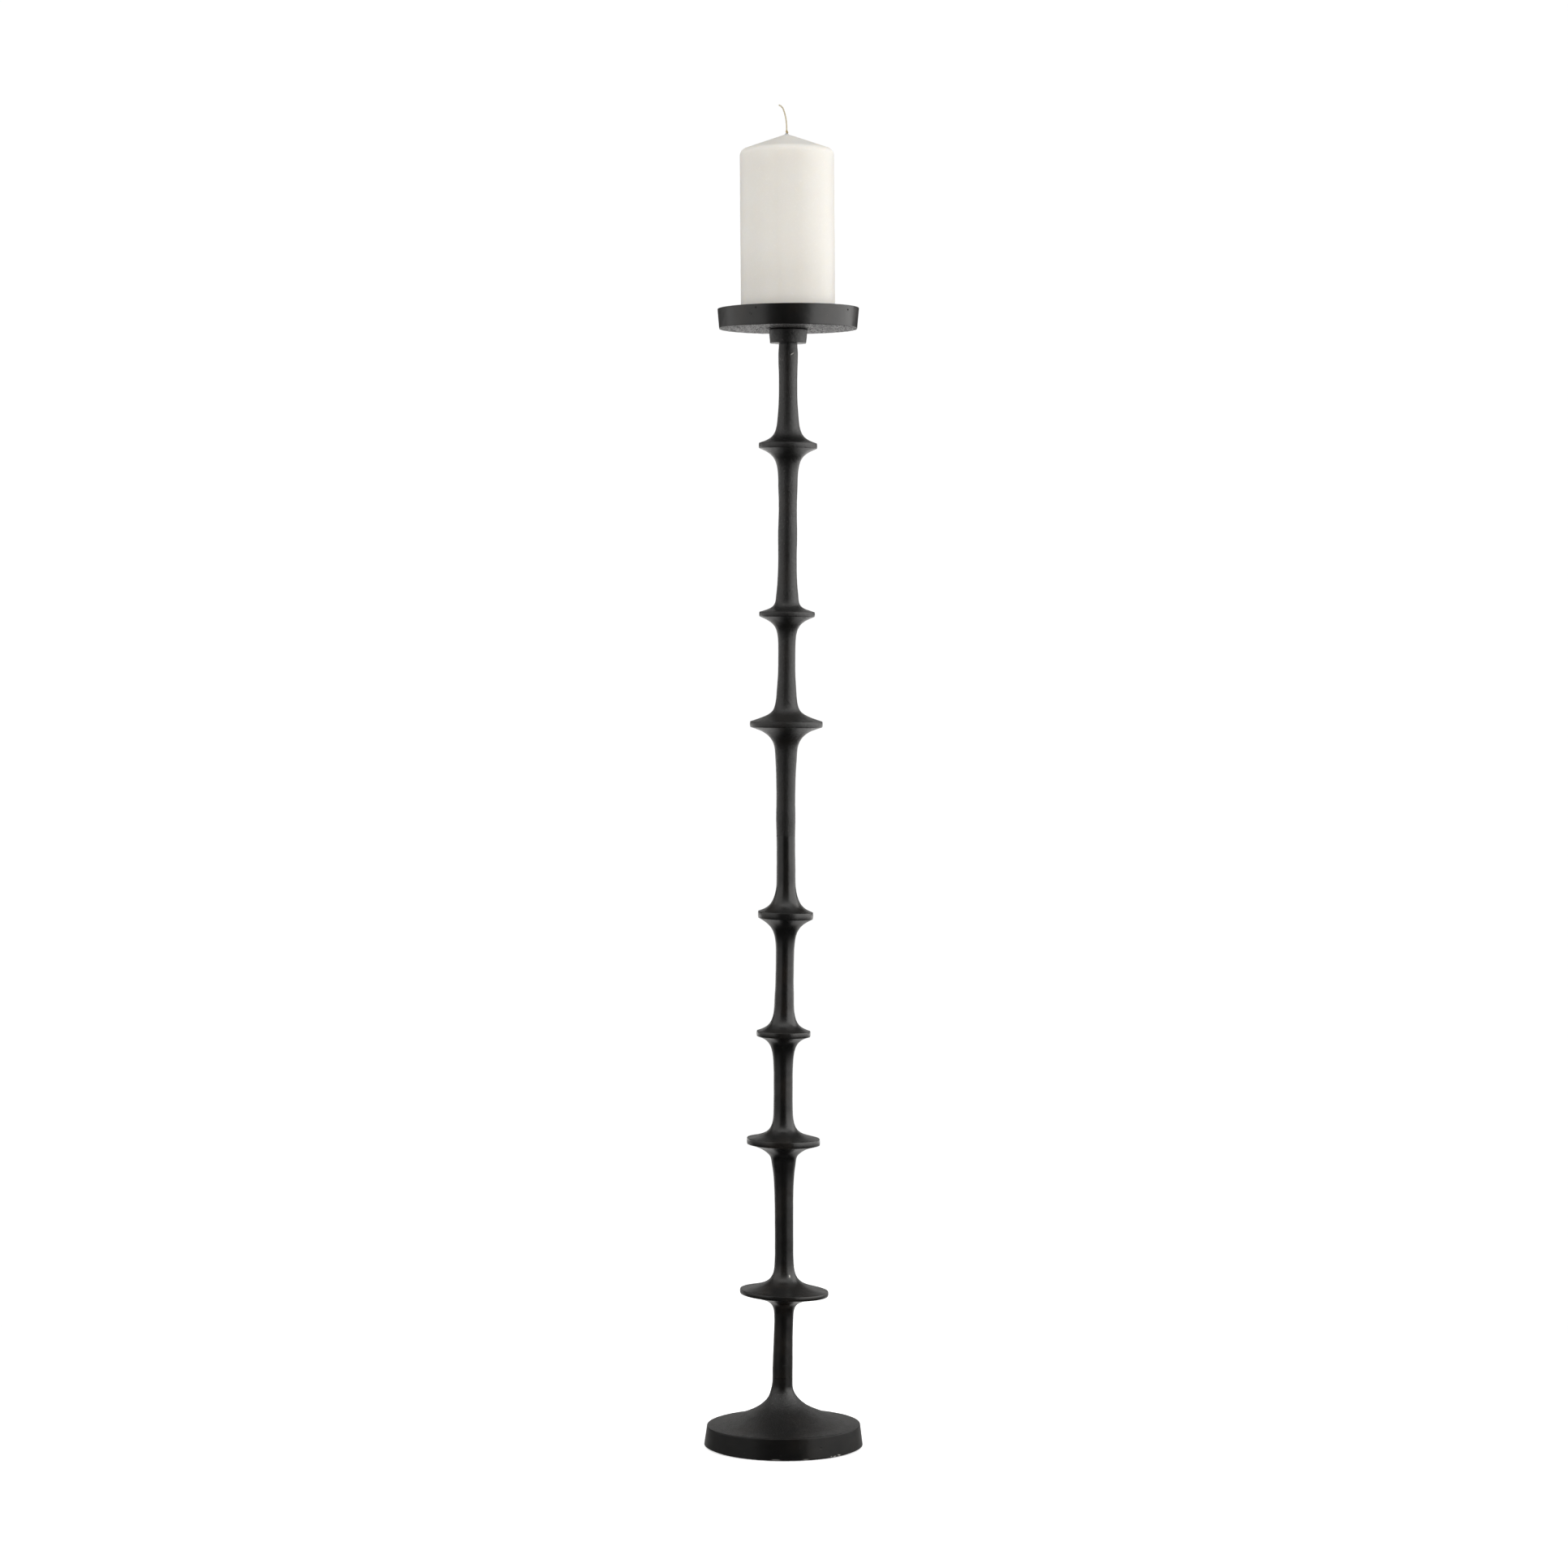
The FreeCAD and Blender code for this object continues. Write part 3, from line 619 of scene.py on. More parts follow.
def felt_pad(material):
    outline = [(0, FELT_TOP), (FELT_RADIUS, FELT_TOP), (FELT_RADIUS, FELT_BOTTOM), (0, FELT_BOTTOM)]
    outer = cast_outline(outline, FELT_MESH)

    def deform(points, normals):
        edge = bump_at(off_axis(points) - FELT_RADIUS, FUZZ_REACH)
        fuzz = -FUZZ_DEPTH * (1 + noise(points, FUZZ_CELL, seed=60)) * edge
        return points + normals * fuzz[:, None], np.zeros((len(points), 2))

    points, faces, _ = turned(outer, [], columns(FELT_MESH), deform)
    points[:, 2] = np.clip(points[:, 2], FELT_BOTTOM, FELT_TOP)
    mesh_piece("felt_pad_pressed", points, faces, material, "holder", "felt", "felt_pad")


# --- candle ---
APEX = 1053.8  # point of the candle's cone as drawn
CONE_RADIUS, CONE_HEIGHT = 34.0, 11.9
CONE_SINK = 1.0  # the moulded cone stops short of its drawn point
SHOULDER_DROP = 5.0
CANDLE_LEAN = 0.7  # degrees towards -X
FOOT_CHAMFER = 0.9
WICK_RADIUS = 0.65
BORE_GAP = 0.05  # wax clear of the wick
# Mouth of the bore, where wax has crept up the wick: how far out of it, and up from the point.
BORE_MOUTH = [(0.0, 0.5), (0.5, 0.2)]
CONE_START = (1.9, -0.6)  # radius, and height over the point, where the cone takes over
CLIP_GAP = 0.1  # wax clear of the clip that holds the wick
CLIP_PLATE = 0.6  # height of the recess for the clip's plate
CLIP_NECK = 1.4  # radius of the recess for its neck
# Raised line round the cone's edge: height, reach, and how far down the shoulder it goes.
CONE_RIDGE, RIDGE_REACH, RIDGE_DROP = 0.12, 0.6, 3
CANDLE_SWELL = 0.12  # all the wax stands this much prouder than drawn
CANDLE_FLAT = 0.3  # the foot stays flat up to here
WAX_WAVES = [(26.0, 0.10, 70), (9.0, 0.05, 71), (2.5, 0.012, 72)]  # cell, depth and noise seed


def lean(points):
    """Points of the candle as it leans: its foot stays flat in the pan and its top tilts."""
    tilt = slope(CANDLE_LEAN)
    up = points[:, 2] - CANDLE_BOTTOM
    leaning = points.copy()
    leaning[:, 0] -= tilt * up
    leaning[:, 2] += tilt * points[:, 0] * up / (APEX - CANDLE_BOTTOM)
    return leaning


def candle(material):
    point = APEX - CONE_SINK
    ring = (CONE_RADIUS, point - CONE_HEIGHT)
    pitch = CONE_HEIGHT / CONE_RADIUS
    wall_top = (CANDLE_RADIUS, ring[1] - SHOULDER_DROP)
    corner = (CANDLE_RADIUS, ring[1] - pitch * (CANDLE_RADIUS - CONE_RADIUS))
    bore = WICK_RADIUS + BORE_GAP
    recess = CLIP_RADIUS + CLIP_GAP
    outline = np.vstack([
        [(bore + out, point + up) for out, up in BORE_MOUTH],
        [(CONE_START[0], point + CONE_START[1])], bezier(ring, ring, corner, wall_top),
        [(CANDLE_RADIUS, CANDLE_BOTTOM + FOOT_CHAMFER), (CANDLE_RADIUS - FOOT_CHAMFER, CANDLE_BOTTOM),
         (recess, CANDLE_BOTTOM)],
    ])
    outer = cast_outline(outline, CANDLE_MESH)
    plate_top = CANDLE_BOTTOM + CLIP_PLATE
    neck_top = CLIP_TOP + CLIP_GAP
    inner = [(recess, plate_top), (CLIP_NECK, plate_top), (CLIP_NECK, neck_top),
             (bore, neck_top)]

    def deform(points, normals):
        push = sum(depth * noise(points, cell, seed) for cell, depth, seed in WAX_WAVES)
        ridge = bump_at(off_axis(points) - CONE_RADIUS, RIDGE_REACH)
        push += CONE_RIDGE * ridge * (points[:, 2] > ring[1] - RIDGE_DROP)
        push += CANDLE_SWELL
        keep = points[:, 2] > CANDLE_BOTTOM + CANDLE_FLAT
        moved = points + normals * (push * keep)[:, None]
        return lean(moved), np.zeros((len(points), 2))

    points, faces, _ = turned(outer, inner, columns(CANDLE_MESH), deform)
    mesh_piece("candle_wax", points, faces, material, "candle_body", "wax", "candle")


# --- wick ---
WICK_STRAIGHT = 5.0
WICK_SUNK = 4.0  # length of the plait that runs down inside the wax
WICK_STEP = 0.12
WICK_BENDS = ((40.0, 20.0), (6.0, 50.0))  # radius and turn in degrees
STRANDS = 3
STRAND_RADIUS = 0.30
STRAND_RIPPLE = 0.12  # how much a strand's radius comes and goes, as a share
STRAND_SIDES = 10
PLAIT_WIDTH, PLAIT_DEPTH, PLAIT_PITCH = 0.36, 0.20, 3.6
FIBRES = 9
FIBRE_RADIUS = 0.045
FIBRE_ROOT = 0.5  # how far under the tip a loose fibre starts
FIBRE_SCATTER, FIBRE_STRAY, FIBRE_BEND = 0.22, 0.25, 0.12  # spread of start, direction and bend
FIBRE_SIDES, FIBRE_POINTS = 5, 7
BEAD_BOTTOM, BEAD_TOP = -1.2, 2.2  # heights over the apex
BEAD_RADIUS, BEAD_BELLY, BEAD_WAVE = 0.50, 0.28, 0.12
BEAD_SIDES = 20
BEAD_LUMPS, BEAD_CELL = 0.10, 0.8
SPECK_PLACE = (0.95, -0.35)  # beside the wick
SPECK_BOTTOM, SPECK_TOP = -0.4, 1.0  # heights over the apex
SPECK_RADIUS = 0.4
SPECK_SIDES, SPECK_RINGS = 14, 9
TUBE_END = 0.05  # radius at the ends of bead and speck


def wick_line():
    """The free wick's centre line from inside the apex to the tip."""
    at = np.array([0.0, 0.0, APEX - WICK_SUNK])
    line = [at + [0, 0, s] for s in np.arange(0, WICK_SUNK + WICK_STRAIGHT, WICK_STEP)]
    at, heading = line[-1], 0.0
    for radius, turn in WICK_BENDS:
        count = int(radius * math.radians(turn) / WICK_STEP)
        for _ in range(count):
            heading += math.radians(turn) / count
            at = at + WICK_STEP * np.array([-math.sin(heading), 0, math.cos(heading)])
            line.append(at)
    return lean(np.array(line))


def directions(line):
    """Unit directions along a line, and across it in the plane square to Y."""
    ahead = np.gradient(line, axis=0)
    ahead /= np.linalg.norm(ahead, axis=1)[:, None]
    return ahead, np.cross(ahead, [0.0, 1.0, 0.0])


def tube(line, radius, sides):
    """Points and faces of a closed tube along a line; radius is a number or one for each point."""
    radius = np.broadcast_to(radius, len(line))
    ahead, side = directions(line)
    side /= np.linalg.norm(side, axis=1)[:, None]
    other = np.cross(ahead, side)
    angle = np.arange(sides) * TURN / sides
    ring = (side[:, None] * np.cos(angle)[None, :, None]
            + other[:, None] * np.sin(angle)[None, :, None])
    points = line[:, None] + radius[:, None, None] * ring
    faces = []
    around = np.arange(sides)
    beside = (around + 1) % sides
    for i in range(len(line) - 1):
        a, b = i * sides, (i + 1) * sides
        faces += np.column_stack([a + around, a + beside, b + beside, b + around]).tolist()
    points = np.vstack([points.reshape(-1, 3), line[0], line[-1]])
    first, last, end = len(points) - 2, len(points) - 1, (len(line) - 1) * sides
    faces += [[first, int(k), int(j)] for j, k in zip(around, beside)]
    faces += [[last, int(end + j), int(end + k)] for j, k in zip(around, beside)]
    return points, faces


def joined(tubes):
    """Points and faces of several tubes as one mesh."""
    points, faces = np.zeros((0, 3)), []
    for more_points, more_faces in tubes:
        faces += [[k + len(points) for k in face] for face in more_faces]
        points = np.vstack([points, more_points])
    return points, faces


def wick(material):
    """Three plaited cotton strands along the wick's line, with loose fibres at the tip."""
    line = wick_line()
    run = np.r_[0, np.cumsum(np.linalg.norm(np.diff(line, axis=0), axis=1))]
    ahead, side = directions(line)
    tubes = []
    for strand in range(STRANDS):
        phase = TURN * (run / PLAIT_PITCH + strand / STRANDS)
        path = line + side * (PLAIT_WIDTH * np.sin(phase))[:, None]
        path[:, 1] += PLAIT_DEPTH * np.sin(2 * phase)
        swell = STRAND_RADIUS * (1 + STRAND_RIPPLE * np.sin(run * 5 + strand))
        tubes.append(tube(path, swell, STRAND_SIDES))
    chance = np.random.default_rng(5)
    for _ in range(FIBRES):
        start = line[-1] + chance.normal(0, FIBRE_SCATTER, 3)
        reach = ahead[-1] * chance.uniform(0.5, 1.0) + chance.normal(0, FIBRE_STRAY, 3)
        bend = chance.normal(0, FIBRE_BEND, 3)
        t = np.linspace(0, 1, FIBRE_POINTS)[:, None]
        fibre = start - ahead[-1] * FIBRE_ROOT + reach * t + bend * t * t
        tubes.append(tube(fibre, FIBRE_RADIUS * (1 - 0.5 * t[:, 0]), FIBRE_SIDES))
    mesh_piece("wick_braid", *joined(tubes), material, "candle_body", "cotton", "wick")


def wick_bead(material):
    """Lumpy bead of old wax at the wick's foot, and a speck beside it."""
    line = wick_line()
    at = line[(line[:, 2] > APEX + BEAD_BOTTOM) & (line[:, 2] < APEX + BEAD_TOP)]
    t = np.linspace(0, 1, len(at))
    swell = BEAD_RADIUS + BEAD_BELLY * np.sin(np.pi * t) ** 0.7 + BEAD_WAVE * np.sin(9 * t + 1)
    bead, bead_faces = tube(at, swell * (t < 0.999) + TUBE_END, BEAD_SIDES)
    bead += BEAD_LUMPS * np.column_stack([noise(bead, BEAD_CELL, seed) for seed in (81, 82, 83)])
    t = np.linspace(0, 1, SPECK_RINGS)
    heights = np.linspace(SPECK_BOTTOM, SPECK_TOP, SPECK_RINGS)
    speck_line = np.array([[*SPECK_PLACE, APEX + height] for height in heights])
    speck = tube(lean(speck_line), TUBE_END + SPECK_RADIUS * np.sin(np.pi * t), SPECK_SIDES)
    mesh_piece("wick_bead", *joined([(bead, bead_faces), speck]), material, "candle_body", "wax")


# --- materials ---
def rgb(red, green, blue):
    return (red, green, blue, 1.0)


class Nodes:
    """Short calls for building one node material."""

    def __init__(self, name):
        self.material = bpy.data.materials.new(name)
        self.material.use_nodes = True
        self.tree = self.material.node_tree
        self.shader = self.tree.nodes["Principled BSDF"]
        self.place = self.tree.nodes.new("ShaderNodeTexCoord").outputs["Object"]

    def add(self, kind, inputs=None, **settings):
        node = self.tree.nodes.new(kind)
        for key, value in settings.items():
            setattr(node, key, value)
        for key, value in (inputs or {}).items():
            self.set(node.inputs[key], value)
        return node

    def set(self, socket, value):
        if isinstance(value, bpy.types.NodeSocket):
            self.tree.links.new(value, socket)
        else:
            socket.default_value = value

    def noise(self, size_mm, detail=2.0, rough=0.5, stretch=None):
        """Noise from 0 to 1 with features of that size."""
        place = self.place
        if stretch is not None:
            place = self.add("ShaderNodeMapping", {"Vector": place, "Scale": stretch}).outputs[0]
        inputs = {"Vector": place, "Scale": 1 / (size_mm * MM), "Detail": detail, "Roughness": rough}
        return self.add("ShaderNodeTexNoise", inputs).outputs["Fac"]

    def remap(self, value, low, high, to_low=0.0, to_high=1.0):
        inputs = {"Value": value, "From Min": low, "From Max": high, "To Min": to_low, "To Max": to_high}
        return self.add("ShaderNodeMapRange", inputs, clamp=True).outputs[0]

    def math(self, operation, a, b):
        return self.add("ShaderNodeMath", {0: a, 1: b}, operation=operation).outputs[0]

    def mix(self, factor, a, b):
        node = self.add("ShaderNodeMix", data_type="RGBA")
        self.set(node.inputs["Factor"], factor)
        self.set(node.inputs["A"], a)
        self.set(node.inputs["B"], b)
        return node.outputs["Result"]

    def bump(self, height, distance, under=None):
        """The bumped normal. distance is the depth in metres, a number or a socket."""
        inputs = {"Height": height, "Distance": distance}
        if under is not None:
            inputs["Normal"] = under
        return self.add("ShaderNodeBump", inputs).outputs[0]

    def constant(self, name, value):
        """Sets what is the same all over on the shader's own socket, which the export needs."""
        self.shader.inputs[name].default_value = value

    def shade(self, colour, roughness, normal=None):
        self.set(self.shader.inputs["Base Color"], colour)
        self.set(self.shader.inputs["Roughness"], roughness)
        if normal is not None:
            self.set(self.shader.inputs["Normal"], normal)
        return self.material


CASTING_BLACK = rgb(0.0028, 0.0027, 0.0026)
SANDY_BLACK = rgb(0.0050, 0.0048, 0.0046)
BROWN_BLOOM = rgb(0.0110, 0.0080, 0.0057)
DUST = rgb(0.13, 0.125, 0.115)
DUST_CELL = 2.2  # mm, one possible speck of dust in each cell
# Pale colour for bare metal at chips and for painted glints at some nicks.
BARE_METAL_AND_GLINT = rgb(0.82, 0.80, 0.74)
SAND_CELL, SAND_DEPTH = 0.62, 0.28  # mm
PIT_CELL, PIT_DEPTH = 1.5, 0.24  # mm
LEAST_GRAIN = 0.03  # even a smooth skin has this much of the sand's depth


def cast_metal(name, warmth, gloss=0.72):
    """Blackened casting, with a browner bloom in patches and a few specks of dust.

    The mesh says where it is grainy and where bare metal and painted glints show."""
    n = Nodes(name)
    grain = n.add("ShaderNodeAttribute", attribute_name="grain").outputs["Fac"]
    wear_and_glint = n.add("ShaderNodeAttribute", attribute_name="wear_and_glint").outputs["Fac"]
    sand = n.noise(SAND_CELL, detail=4.0, rough=0.62)
    pits = n.noise(PIT_CELL)
    smudge = n.noise(7.0, detail=4.0, rough=0.6)
    sandy = n.math("MULTIPLY", grain, n.remap(sand, 0.40, 0.70))
    black = n.mix(sandy, CASTING_BLACK, SANDY_BLACK)
    bloom = n.remap(n.noise(24.0, detail=3.0), 0.48, 0.70, 0.0, warmth)
    colour = n.mix(bloom, black, BROWN_BLOOM)

    specks = n.add("ShaderNodeTexVoronoi", {"Vector": n.place, "Scale": 1 / (DUST_CELL * MM)})
    chosen = n.add("ShaderNodeSeparateColor", {"Color": specks.outputs["Color"]}).outputs["Red"]
    chosen = n.math("ADD", chosen, n.math("MULTIPLY", grain, 0.45))
    dust = n.math("MULTIPLY", n.remap(specks.outputs["Distance"], 0.15, 0.09),
                  n.remap(chosen, 0.92, 1.25, 0.0, 0.8))
    colour = n.mix(dust, colour, DUST)
    # Pale bare metal at chips, and painted glints at some nicks.
    bare_and_glint = n.math("MULTIPLY", wear_and_glint, n.remap(n.noise(0.5), 0.25, 0.5, 0.4, 1.0))
    colour = n.mix(bare_and_glint, colour, BARE_METAL_AND_GLINT)

    rough = n.remap(smudge, 0.3, 0.7, 0.28, 0.36)
    pitted = n.math("MULTIPLY", n.remap(grain, 1.0, 2.2), n.remap(pits, 0.52, 0.44, 0.0, 0.6))
    rough = n.math("ADD", rough, pitted)
    sand_depth = n.math("MULTIPLY", n.math("ADD", grain, LEAST_GRAIN), SAND_DEPTH * MM)
    normal = n.bump(sand, sand_depth)
    normal = n.bump(pits, n.math("MULTIPLY", grain, PIT_DEPTH * MM), normal)
    n.constant("Specular IOR Level", gloss)
    return n.shade(colour, rough, normal)


def steel(name, tint):
    """Plated steel with fine turning lines."""
    n = Nodes(name)
    lines = n.noise(0.35, stretch=(0.15, 0.15, 1.0))
    stain = n.noise(5.0, detail=3.0)
    colour = n.mix(n.remap(stain, 0.4, 0.7), tint, rgb(0.36, 0.35, 0.33))
    n.constant("Metallic", 1.0)
    return n.shade(colour, n.remap(stain, 0.3, 0.7, 0.28, 0.45), n.bump(lines, 0.01 * MM))


def felt(name):
    """Pressed felt: fibres that lie both ways."""
    n = Nodes(name)
    fibre = n.noise(0.6, detail=4.0, rough=0.7, stretch=(1.0, 0.35, 1.0))
    other = n.noise(0.5, detail=4.0, rough=0.7, stretch=(0.35, 1.0, 1.0))
    fluff = n.math("MAXIMUM", fibre, other)
    colour = n.mix(n.remap(fluff, 0.4, 0.75), rgb(0.010, 0.010, 0.011), rgb(0.045, 0.044, 0.046))
    n.constant("Sheen Weight", 0.4)
    return n.shade(colour, n.remap(fluff, 0.3, 0.8, 0.85, 0.98), n.bump(fluff, 0.15 * MM))


def wax(name, pale, shade, radius_mm):
    """Moulded paraffin: cloudy, slightly crystalline, soft to light."""
    n = Nodes(name)
    cloud = n.noise(30.0, detail=3.0)
    frost = n.noise(2.2, detail=4.0, rough=0.7)
    colour = n.mix(n.remap(cloud, 0.35, 0.7, 0.0, 0.6), pale, shade)
    colour = n.mix(n.remap(frost, 0.55, 0.75, 0.0, 0.25), colour, rgb(0.96, 0.95, 0.92))
    n.constant("Subsurface Weight", 0.9)
    n.constant("Subsurface Radius", [r * MM for r in radius_mm])
    n.constant("Subsurface Scale", 1.0)
    n.constant("Specular IOR Level", 0.4)
    normal = n.bump(n.noise(6.0, detail=3.0), 0.06 * MM)
    normal = n.bump(frost, 0.015 * MM, normal)
    return n.shade(colour, n.remap(frost, 0.3, 0.7, 0.38, 0.52), normal)


def cotton(name):
    """Waxed cotton yarn with darker stains."""
    n = Nodes(name)
    thread = n.noise(0.22, detail=3.0, rough=0.7, stretch=(1.0, 1.0, 0.3))
    stain = n.noise(3.0)
    colour = n.mix(n.remap(thread, 0.35, 0.7), rgb(0.58, 0.51, 0.37), rgb(0.76, 0.70, 0.56))
    colour = n.mix(n.remap(stain, 0.5, 0.75, 0.0, 0.4), colour, rgb(0.50, 0.45, 0.33))
    n.constant("Subsurface Weight", 0.15)
    n.constant("Subsurface Radius", (0.0006, 0.0005, 0.0004))
    return n.shade(colour, n.remap(thread, 0.3, 0.7, 0.6, 0.85), n.bump(thread, 0.05 * MM))


def build():
    """Makes every piece of the object, and finishes the CAD pieces that stay."""
    rough_casting = cast_metal("rough_casting_black", 0.35)
    smooth_casting = cast_metal("smooth_casting_black", 0.7)
    upper_stem(rough_casting)
    lower_stem(smooth_casting)
    # The base's wall gets a less glossy copy of the casting, which paints in its shade.
    base(rough_casting, cast_metal("casting_black_shaded_wall", 0.35, gloss=0.38))
    pan_collar(rough_casting)
    pan(smooth_casting)
    felt_pad(felt("black_felt"))
    candle(wax("white_wax", rgb(0.83, 0.81, 0.765), rgb(0.80, 0.775, 0.725), (11.0, 10.0, 8.5)))
    wick(cotton("waxed_cotton"))
    wick_bead(wax("amber_wax", rgb(0.54, 0.45, 0.28), rgb(0.36, 0.27, 0.14), (0.8, 0.5, 0.3)))
    plated = steel("plated_steel", rgb(0.56, 0.56, 0.57))
    kept = dict.fromkeys(("base_bolt", "base_washer", "spring_washer", "stem_stud", "pan_screw"), plated)
    kept["wick_sustainer"] = steel("tinned_steel", rgb(0.70, 0.69, 0.67))
    for node, finish in kept.items():
        for material_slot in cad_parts[node].material_slots:
            material_slot.material = finish


# --- floor and light ---
# The studio is in metres. A screen brightens from its low height to its high one.
FLOOR_RADIUS, FLOOR_SIDES = 0.9, 96
FLOOR_NEAR, FLOOR_FAR = 0.1, 0.7  # the floor's light and shade change between these radii
FLOOR_GLOW = (0.62, 0.95)  # near and far
FLOOR_COLOURS = (rgb(0.85, 0.85, 0.85), rgb(0.35, 0.35, 0.35))
SCREEN_RADIUS = 2.0
SCREEN_BOTTOM, SCREEN_TOP = -0.6, 2.5
SCREEN_COLUMNS, SCREEN_ROWS = 48, 12
FAR_FLOOR = (1.8, 20.0, 12.0)  # where it starts and ends behind the object, and its half width
FAR_FLOOR_GLOW = 1.6
DOME_RADIUS, DOME_GLOW = 24.0, 1.02
STUDIO_WHITE = rgb(1.0, 0.99, 0.975)


def staged(name, points, faces, material, unseen_by=()):
    """A piece of the studio, which the named kinds of ray pass through."""
    mesh = bpy.data.meshes.new(name)
    mesh.from_pydata(points, [], faces)
    mesh.materials.append(material)
    piece = bpy.data.objects.new(name, mesh)
    bpy.context.scene.collection.objects.link(piece)
    for ray in unseen_by:
        setattr(piece, "visible_" + ray, False)


def floor():
    """Plain white floor, partly lit from inside so that it stays pale."""
    n = Nodes("studio_floor")
    away = n.add("ShaderNodeVectorMath", {0: n.place}, operation="LENGTH").outputs["Value"]
    n.constant("Emission Color", rgb(1, 1, 1))
    n.set(n.shader.inputs["Emission Strength"], n.remap(away, FLOOR_NEAR, FLOOR_FAR, *FLOOR_GLOW))
    n.constant("Specular IOR Level", 0.1)
    shade = n.mix(n.remap(away, FLOOR_NEAR, FLOOR_FAR), *FLOOR_COLOURS)
    around = [TURN * i / FLOOR_SIDES for i in range(FLOOR_SIDES)]
    edge = [(FLOOR_RADIUS * math.cos(a), FLOOR_RADIUS * math.sin(a), 0) for a in around]
    staged("floor", edge, [range(len(edge))], n.shade(shade, 0.9), unseen_by=("glossy",))


def emitter(name, points, faces, brightness, unseen_by=()):
    """A surface that gives light and throws no shadow; brightness makes its strength from its height."""
    n = Nodes(name)
    height = n.add("ShaderNodeSeparateXYZ", {"Vector": n.place}).outputs["Z"]
    n.constant("Emission Color", STUDIO_WHITE)
    n.set(n.shader.inputs["Emission Strength"], brightness(n, height))
    staged(name, points, faces, n.shade(rgb(0, 0, 0), 1.0), ("camera", "shadow", *unseen_by))


def screen(name, start, end, radiance, low, high, unseen_by=()):
    """Curved soft screen round the object, between two angles from the camera's side towards +X.

    It goes on below the floor, as its mirror image in a shiny floor would."""
    angles = np.radians(np.linspace(start, end, SCREEN_COLUMNS))
    heights = np.linspace(SCREEN_BOTTOM, SCREEN_TOP, SCREEN_ROWS)
    points = [(SCREEN_RADIUS * math.sin(a), -SCREEN_RADIUS * math.cos(a), z)
              for z in heights for a in angles]
    corners = [i * SCREEN_COLUMNS + j for i in range(SCREEN_ROWS - 1) for j in range(SCREEN_COLUMNS - 1)]
    faces = [(k, k + 1, k + SCREEN_COLUMNS + 1, k + SCREEN_COLUMNS) for k in corners]
    emitter(name, points, faces, lambda n, height: n.remap(height, low, high, 0.0, radiance), unseen_by)


def far_floor():
    """Bright floor well behind the object, which shows in the pan's underside."""
    near, far, half = FAR_FLOOR
    points = [(-half, near, 0), (half, near, 0), (half, far, 0), (-half, far, 0)]
    emitter("far_floor", points, [(0, 1, 2, 3)], lambda n, height: FAR_FLOOR_GLOW, ("diffuse",))


def backdrop():
    """White dome that only the camera sees."""
    bpy.ops.mesh.primitive_uv_sphere_add(segments=64, ring_count=32, radius=DOME_RADIUS)
    dome = bpy.context.object
    dome.name = "backdrop"
    material = bpy.data.materials.new("backdrop")
    material.use_nodes = True
    tree = material.node_tree
    tree.nodes.clear()
    glow = tree.nodes.new("ShaderNodeEmission")
    glow.inputs["Strength"].default_value = DOME_GLOW
    out = tree.nodes.new("ShaderNodeOutputMaterial")
    tree.links.new(glow.outputs[0], out.inputs["Surface"])
    dome.data.materials.append(material)
    for ray in ("diffuse", "glossy", "transmission", "shadow"):
        setattr(dome, "visible_" + ray, False)


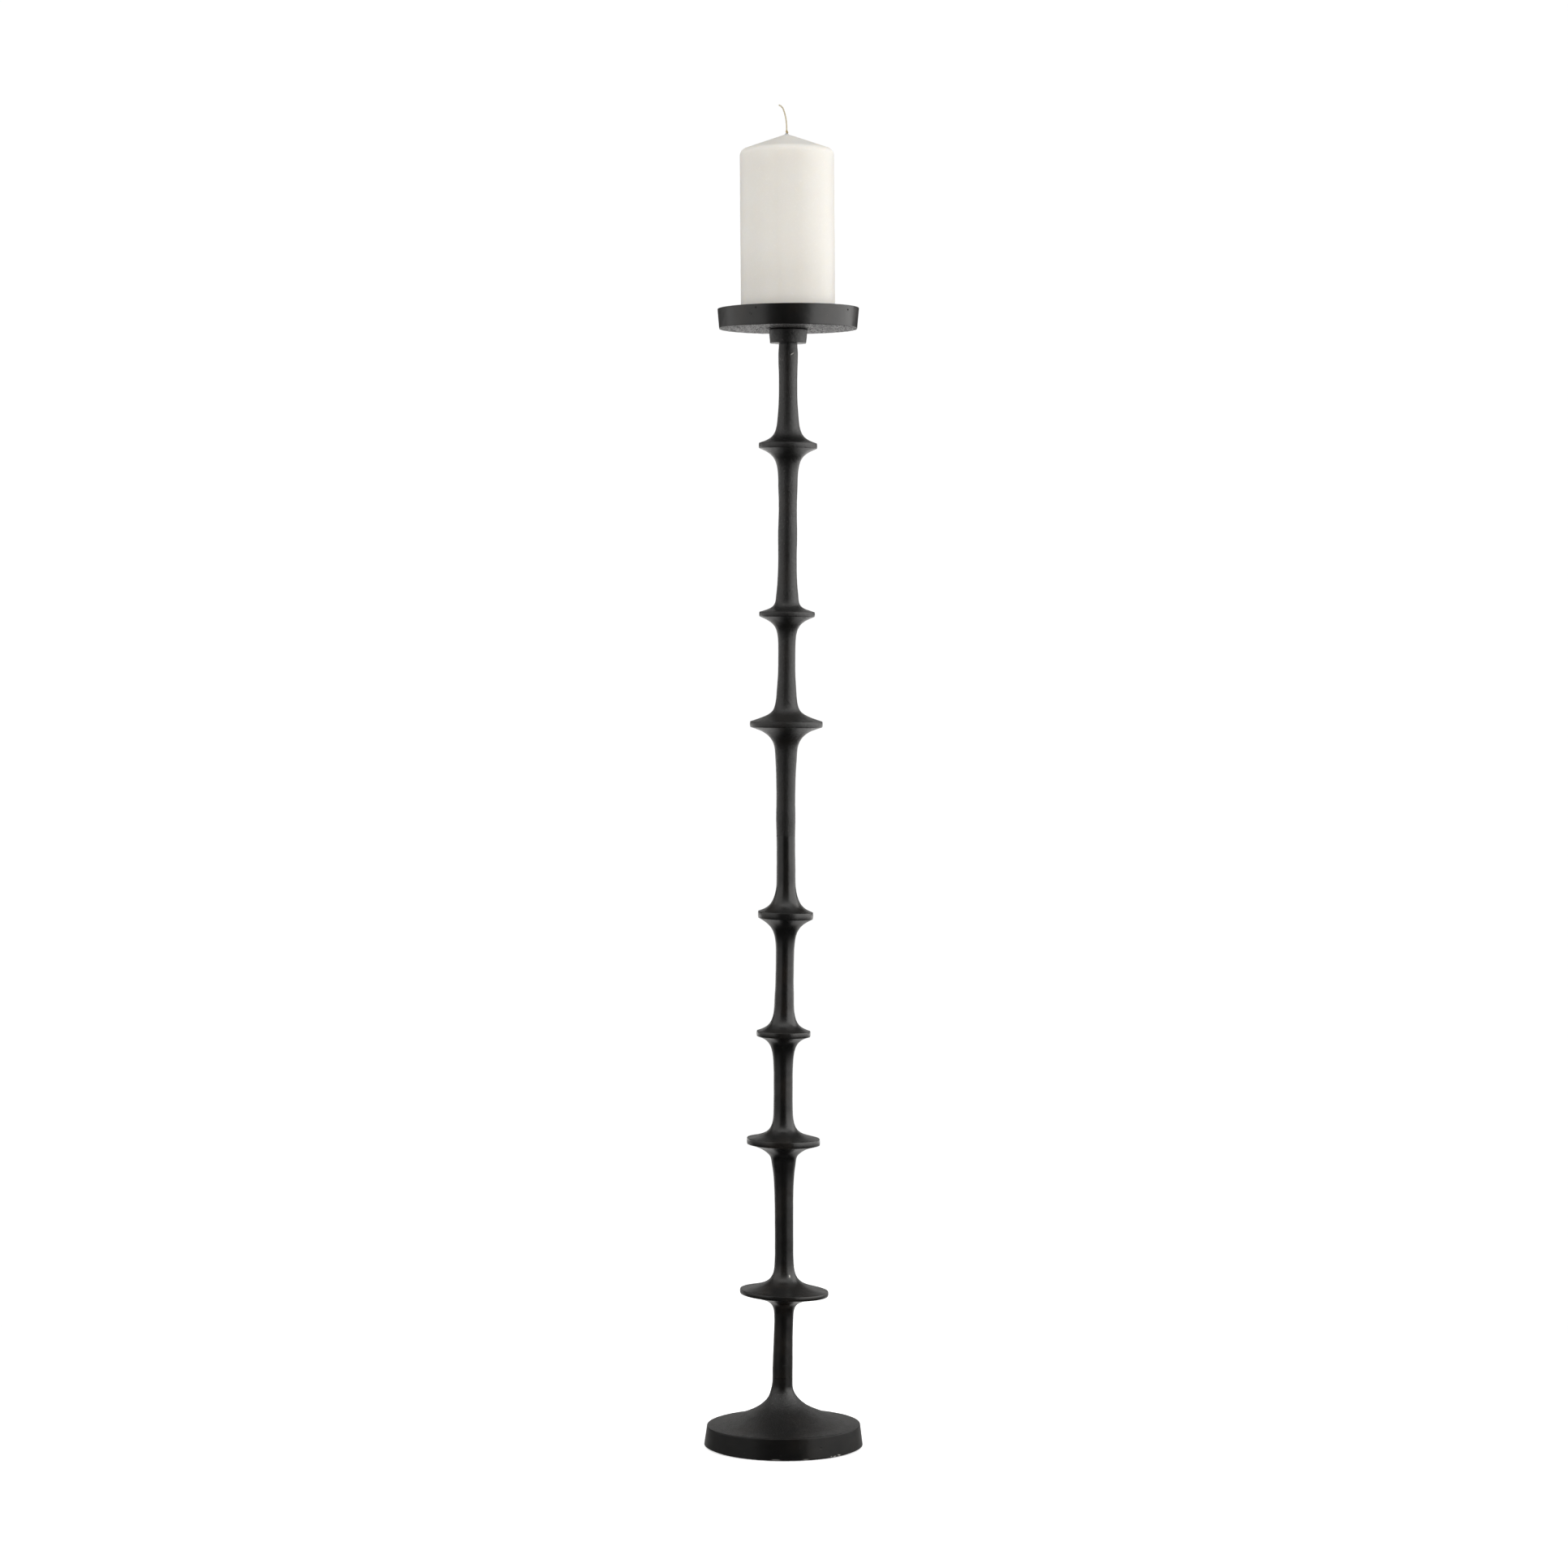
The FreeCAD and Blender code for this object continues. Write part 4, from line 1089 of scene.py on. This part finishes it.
def studio_light():
    """Dim room round the screens, brighter overhead and in two bands behind the object."""
    world = bpy.data.worlds.new("studio")
    bpy.context.scene.world = world
    world.use_nodes = True
    tree = world.node_tree
    background = tree.nodes["Background"]
    direction = tree.nodes.new("ShaderNodeTexCoord").outputs["Generated"]
    split = tree.nodes.new("ShaderNodeSeparateXYZ")
    tree.links.new(direction, split.inputs[0])
    _, y, z = split.outputs

    def ramp(source, start, end, low=0.0, high=1.0):
        node = tree.nodes.new("ShaderNodeMapRange")
        node.interpolation_type = "SMOOTHSTEP"
        tree.links.new(source, node.inputs["Value"])
        for key, value in (("From Min", start), ("From Max", end), ("To Min", low), ("To Max", high)):
            node.inputs[key].default_value = value
        return node.outputs[0]

    def combine(operation, a, b):
        node = tree.nodes.new("ShaderNodeMath")
        node.operation = operation
        tree.links.new(a, node.inputs[0])
        tree.links.new(b, node.inputs[1])
        return node.outputs[0]

    glows = [
        [ramp(z, 0.25, 1.0, 0.01, 0.45), ramp(y, 0.7, 0.3, 0.3)],  # overhead
        [ramp(z, 0.6, 0.9), ramp(y, 0.1, -0.2, 0.0, 0.8)],  # in front, high up
        [ramp(z, -0.07, -0.24), ramp(y, 0.3, 0.65, 0.0, 0.7)],  # behind, low down
        [ramp(z, 0.09, 0.22), ramp(z, 0.45, 0.28), ramp(y, 0.5, 0.85, 0.0, 0.78)],  # behind, above
    ]
    glows = [functools.reduce(functools.partial(combine, "MULTIPLY"), glow) for glow in glows]
    strength = functools.reduce(functools.partial(combine, "ADD"), glows)
    tree.links.new(strength, background.inputs["Strength"])
    background.inputs["Color"].default_value = STUDIO_WHITE


# --- camera ---
LENS, SENSOR = 91.3, 36.0  # mm
EYE = Vector((-0.0018, -3.187, 0.6613))
PITCH, ROLL = 2.279, 0.24  # degrees down, and round the view


def camera():
    """The photo's viewpoint, 3.2 m in front and looking slightly down."""
    data = bpy.data.cameras.new("camera")
    data.lens = LENS
    data.sensor_width = SENSOR
    eye = bpy.data.objects.new("camera", data)
    eye.location = EYE
    pitch = Euler((math.radians(90 - PITCH), 0, 0)).to_matrix()
    roll = Euler((0, 0, math.radians(ROLL))).to_matrix()
    eye.rotation_euler = (pitch @ roll).to_euler()
    bpy.context.scene.collection.objects.link(eye)
    bpy.context.scene.camera = eye


build()
floor()
backdrop()
screen("screen_right", start=36, end=130, radiance=1.95, low=-0.28, high=0.45)
screen("screen_left", start=-120, end=-35, radiance=0.86, low=-0.28, high=0.65)
screen("soft_fill", start=-150, end=60, radiance=0.97, low=-0.2, high=0.3, unseen_by=("glossy",))
far_floor()
studio_light()
camera()
bpy.context.scene.view_settings.view_transform = "Standard"
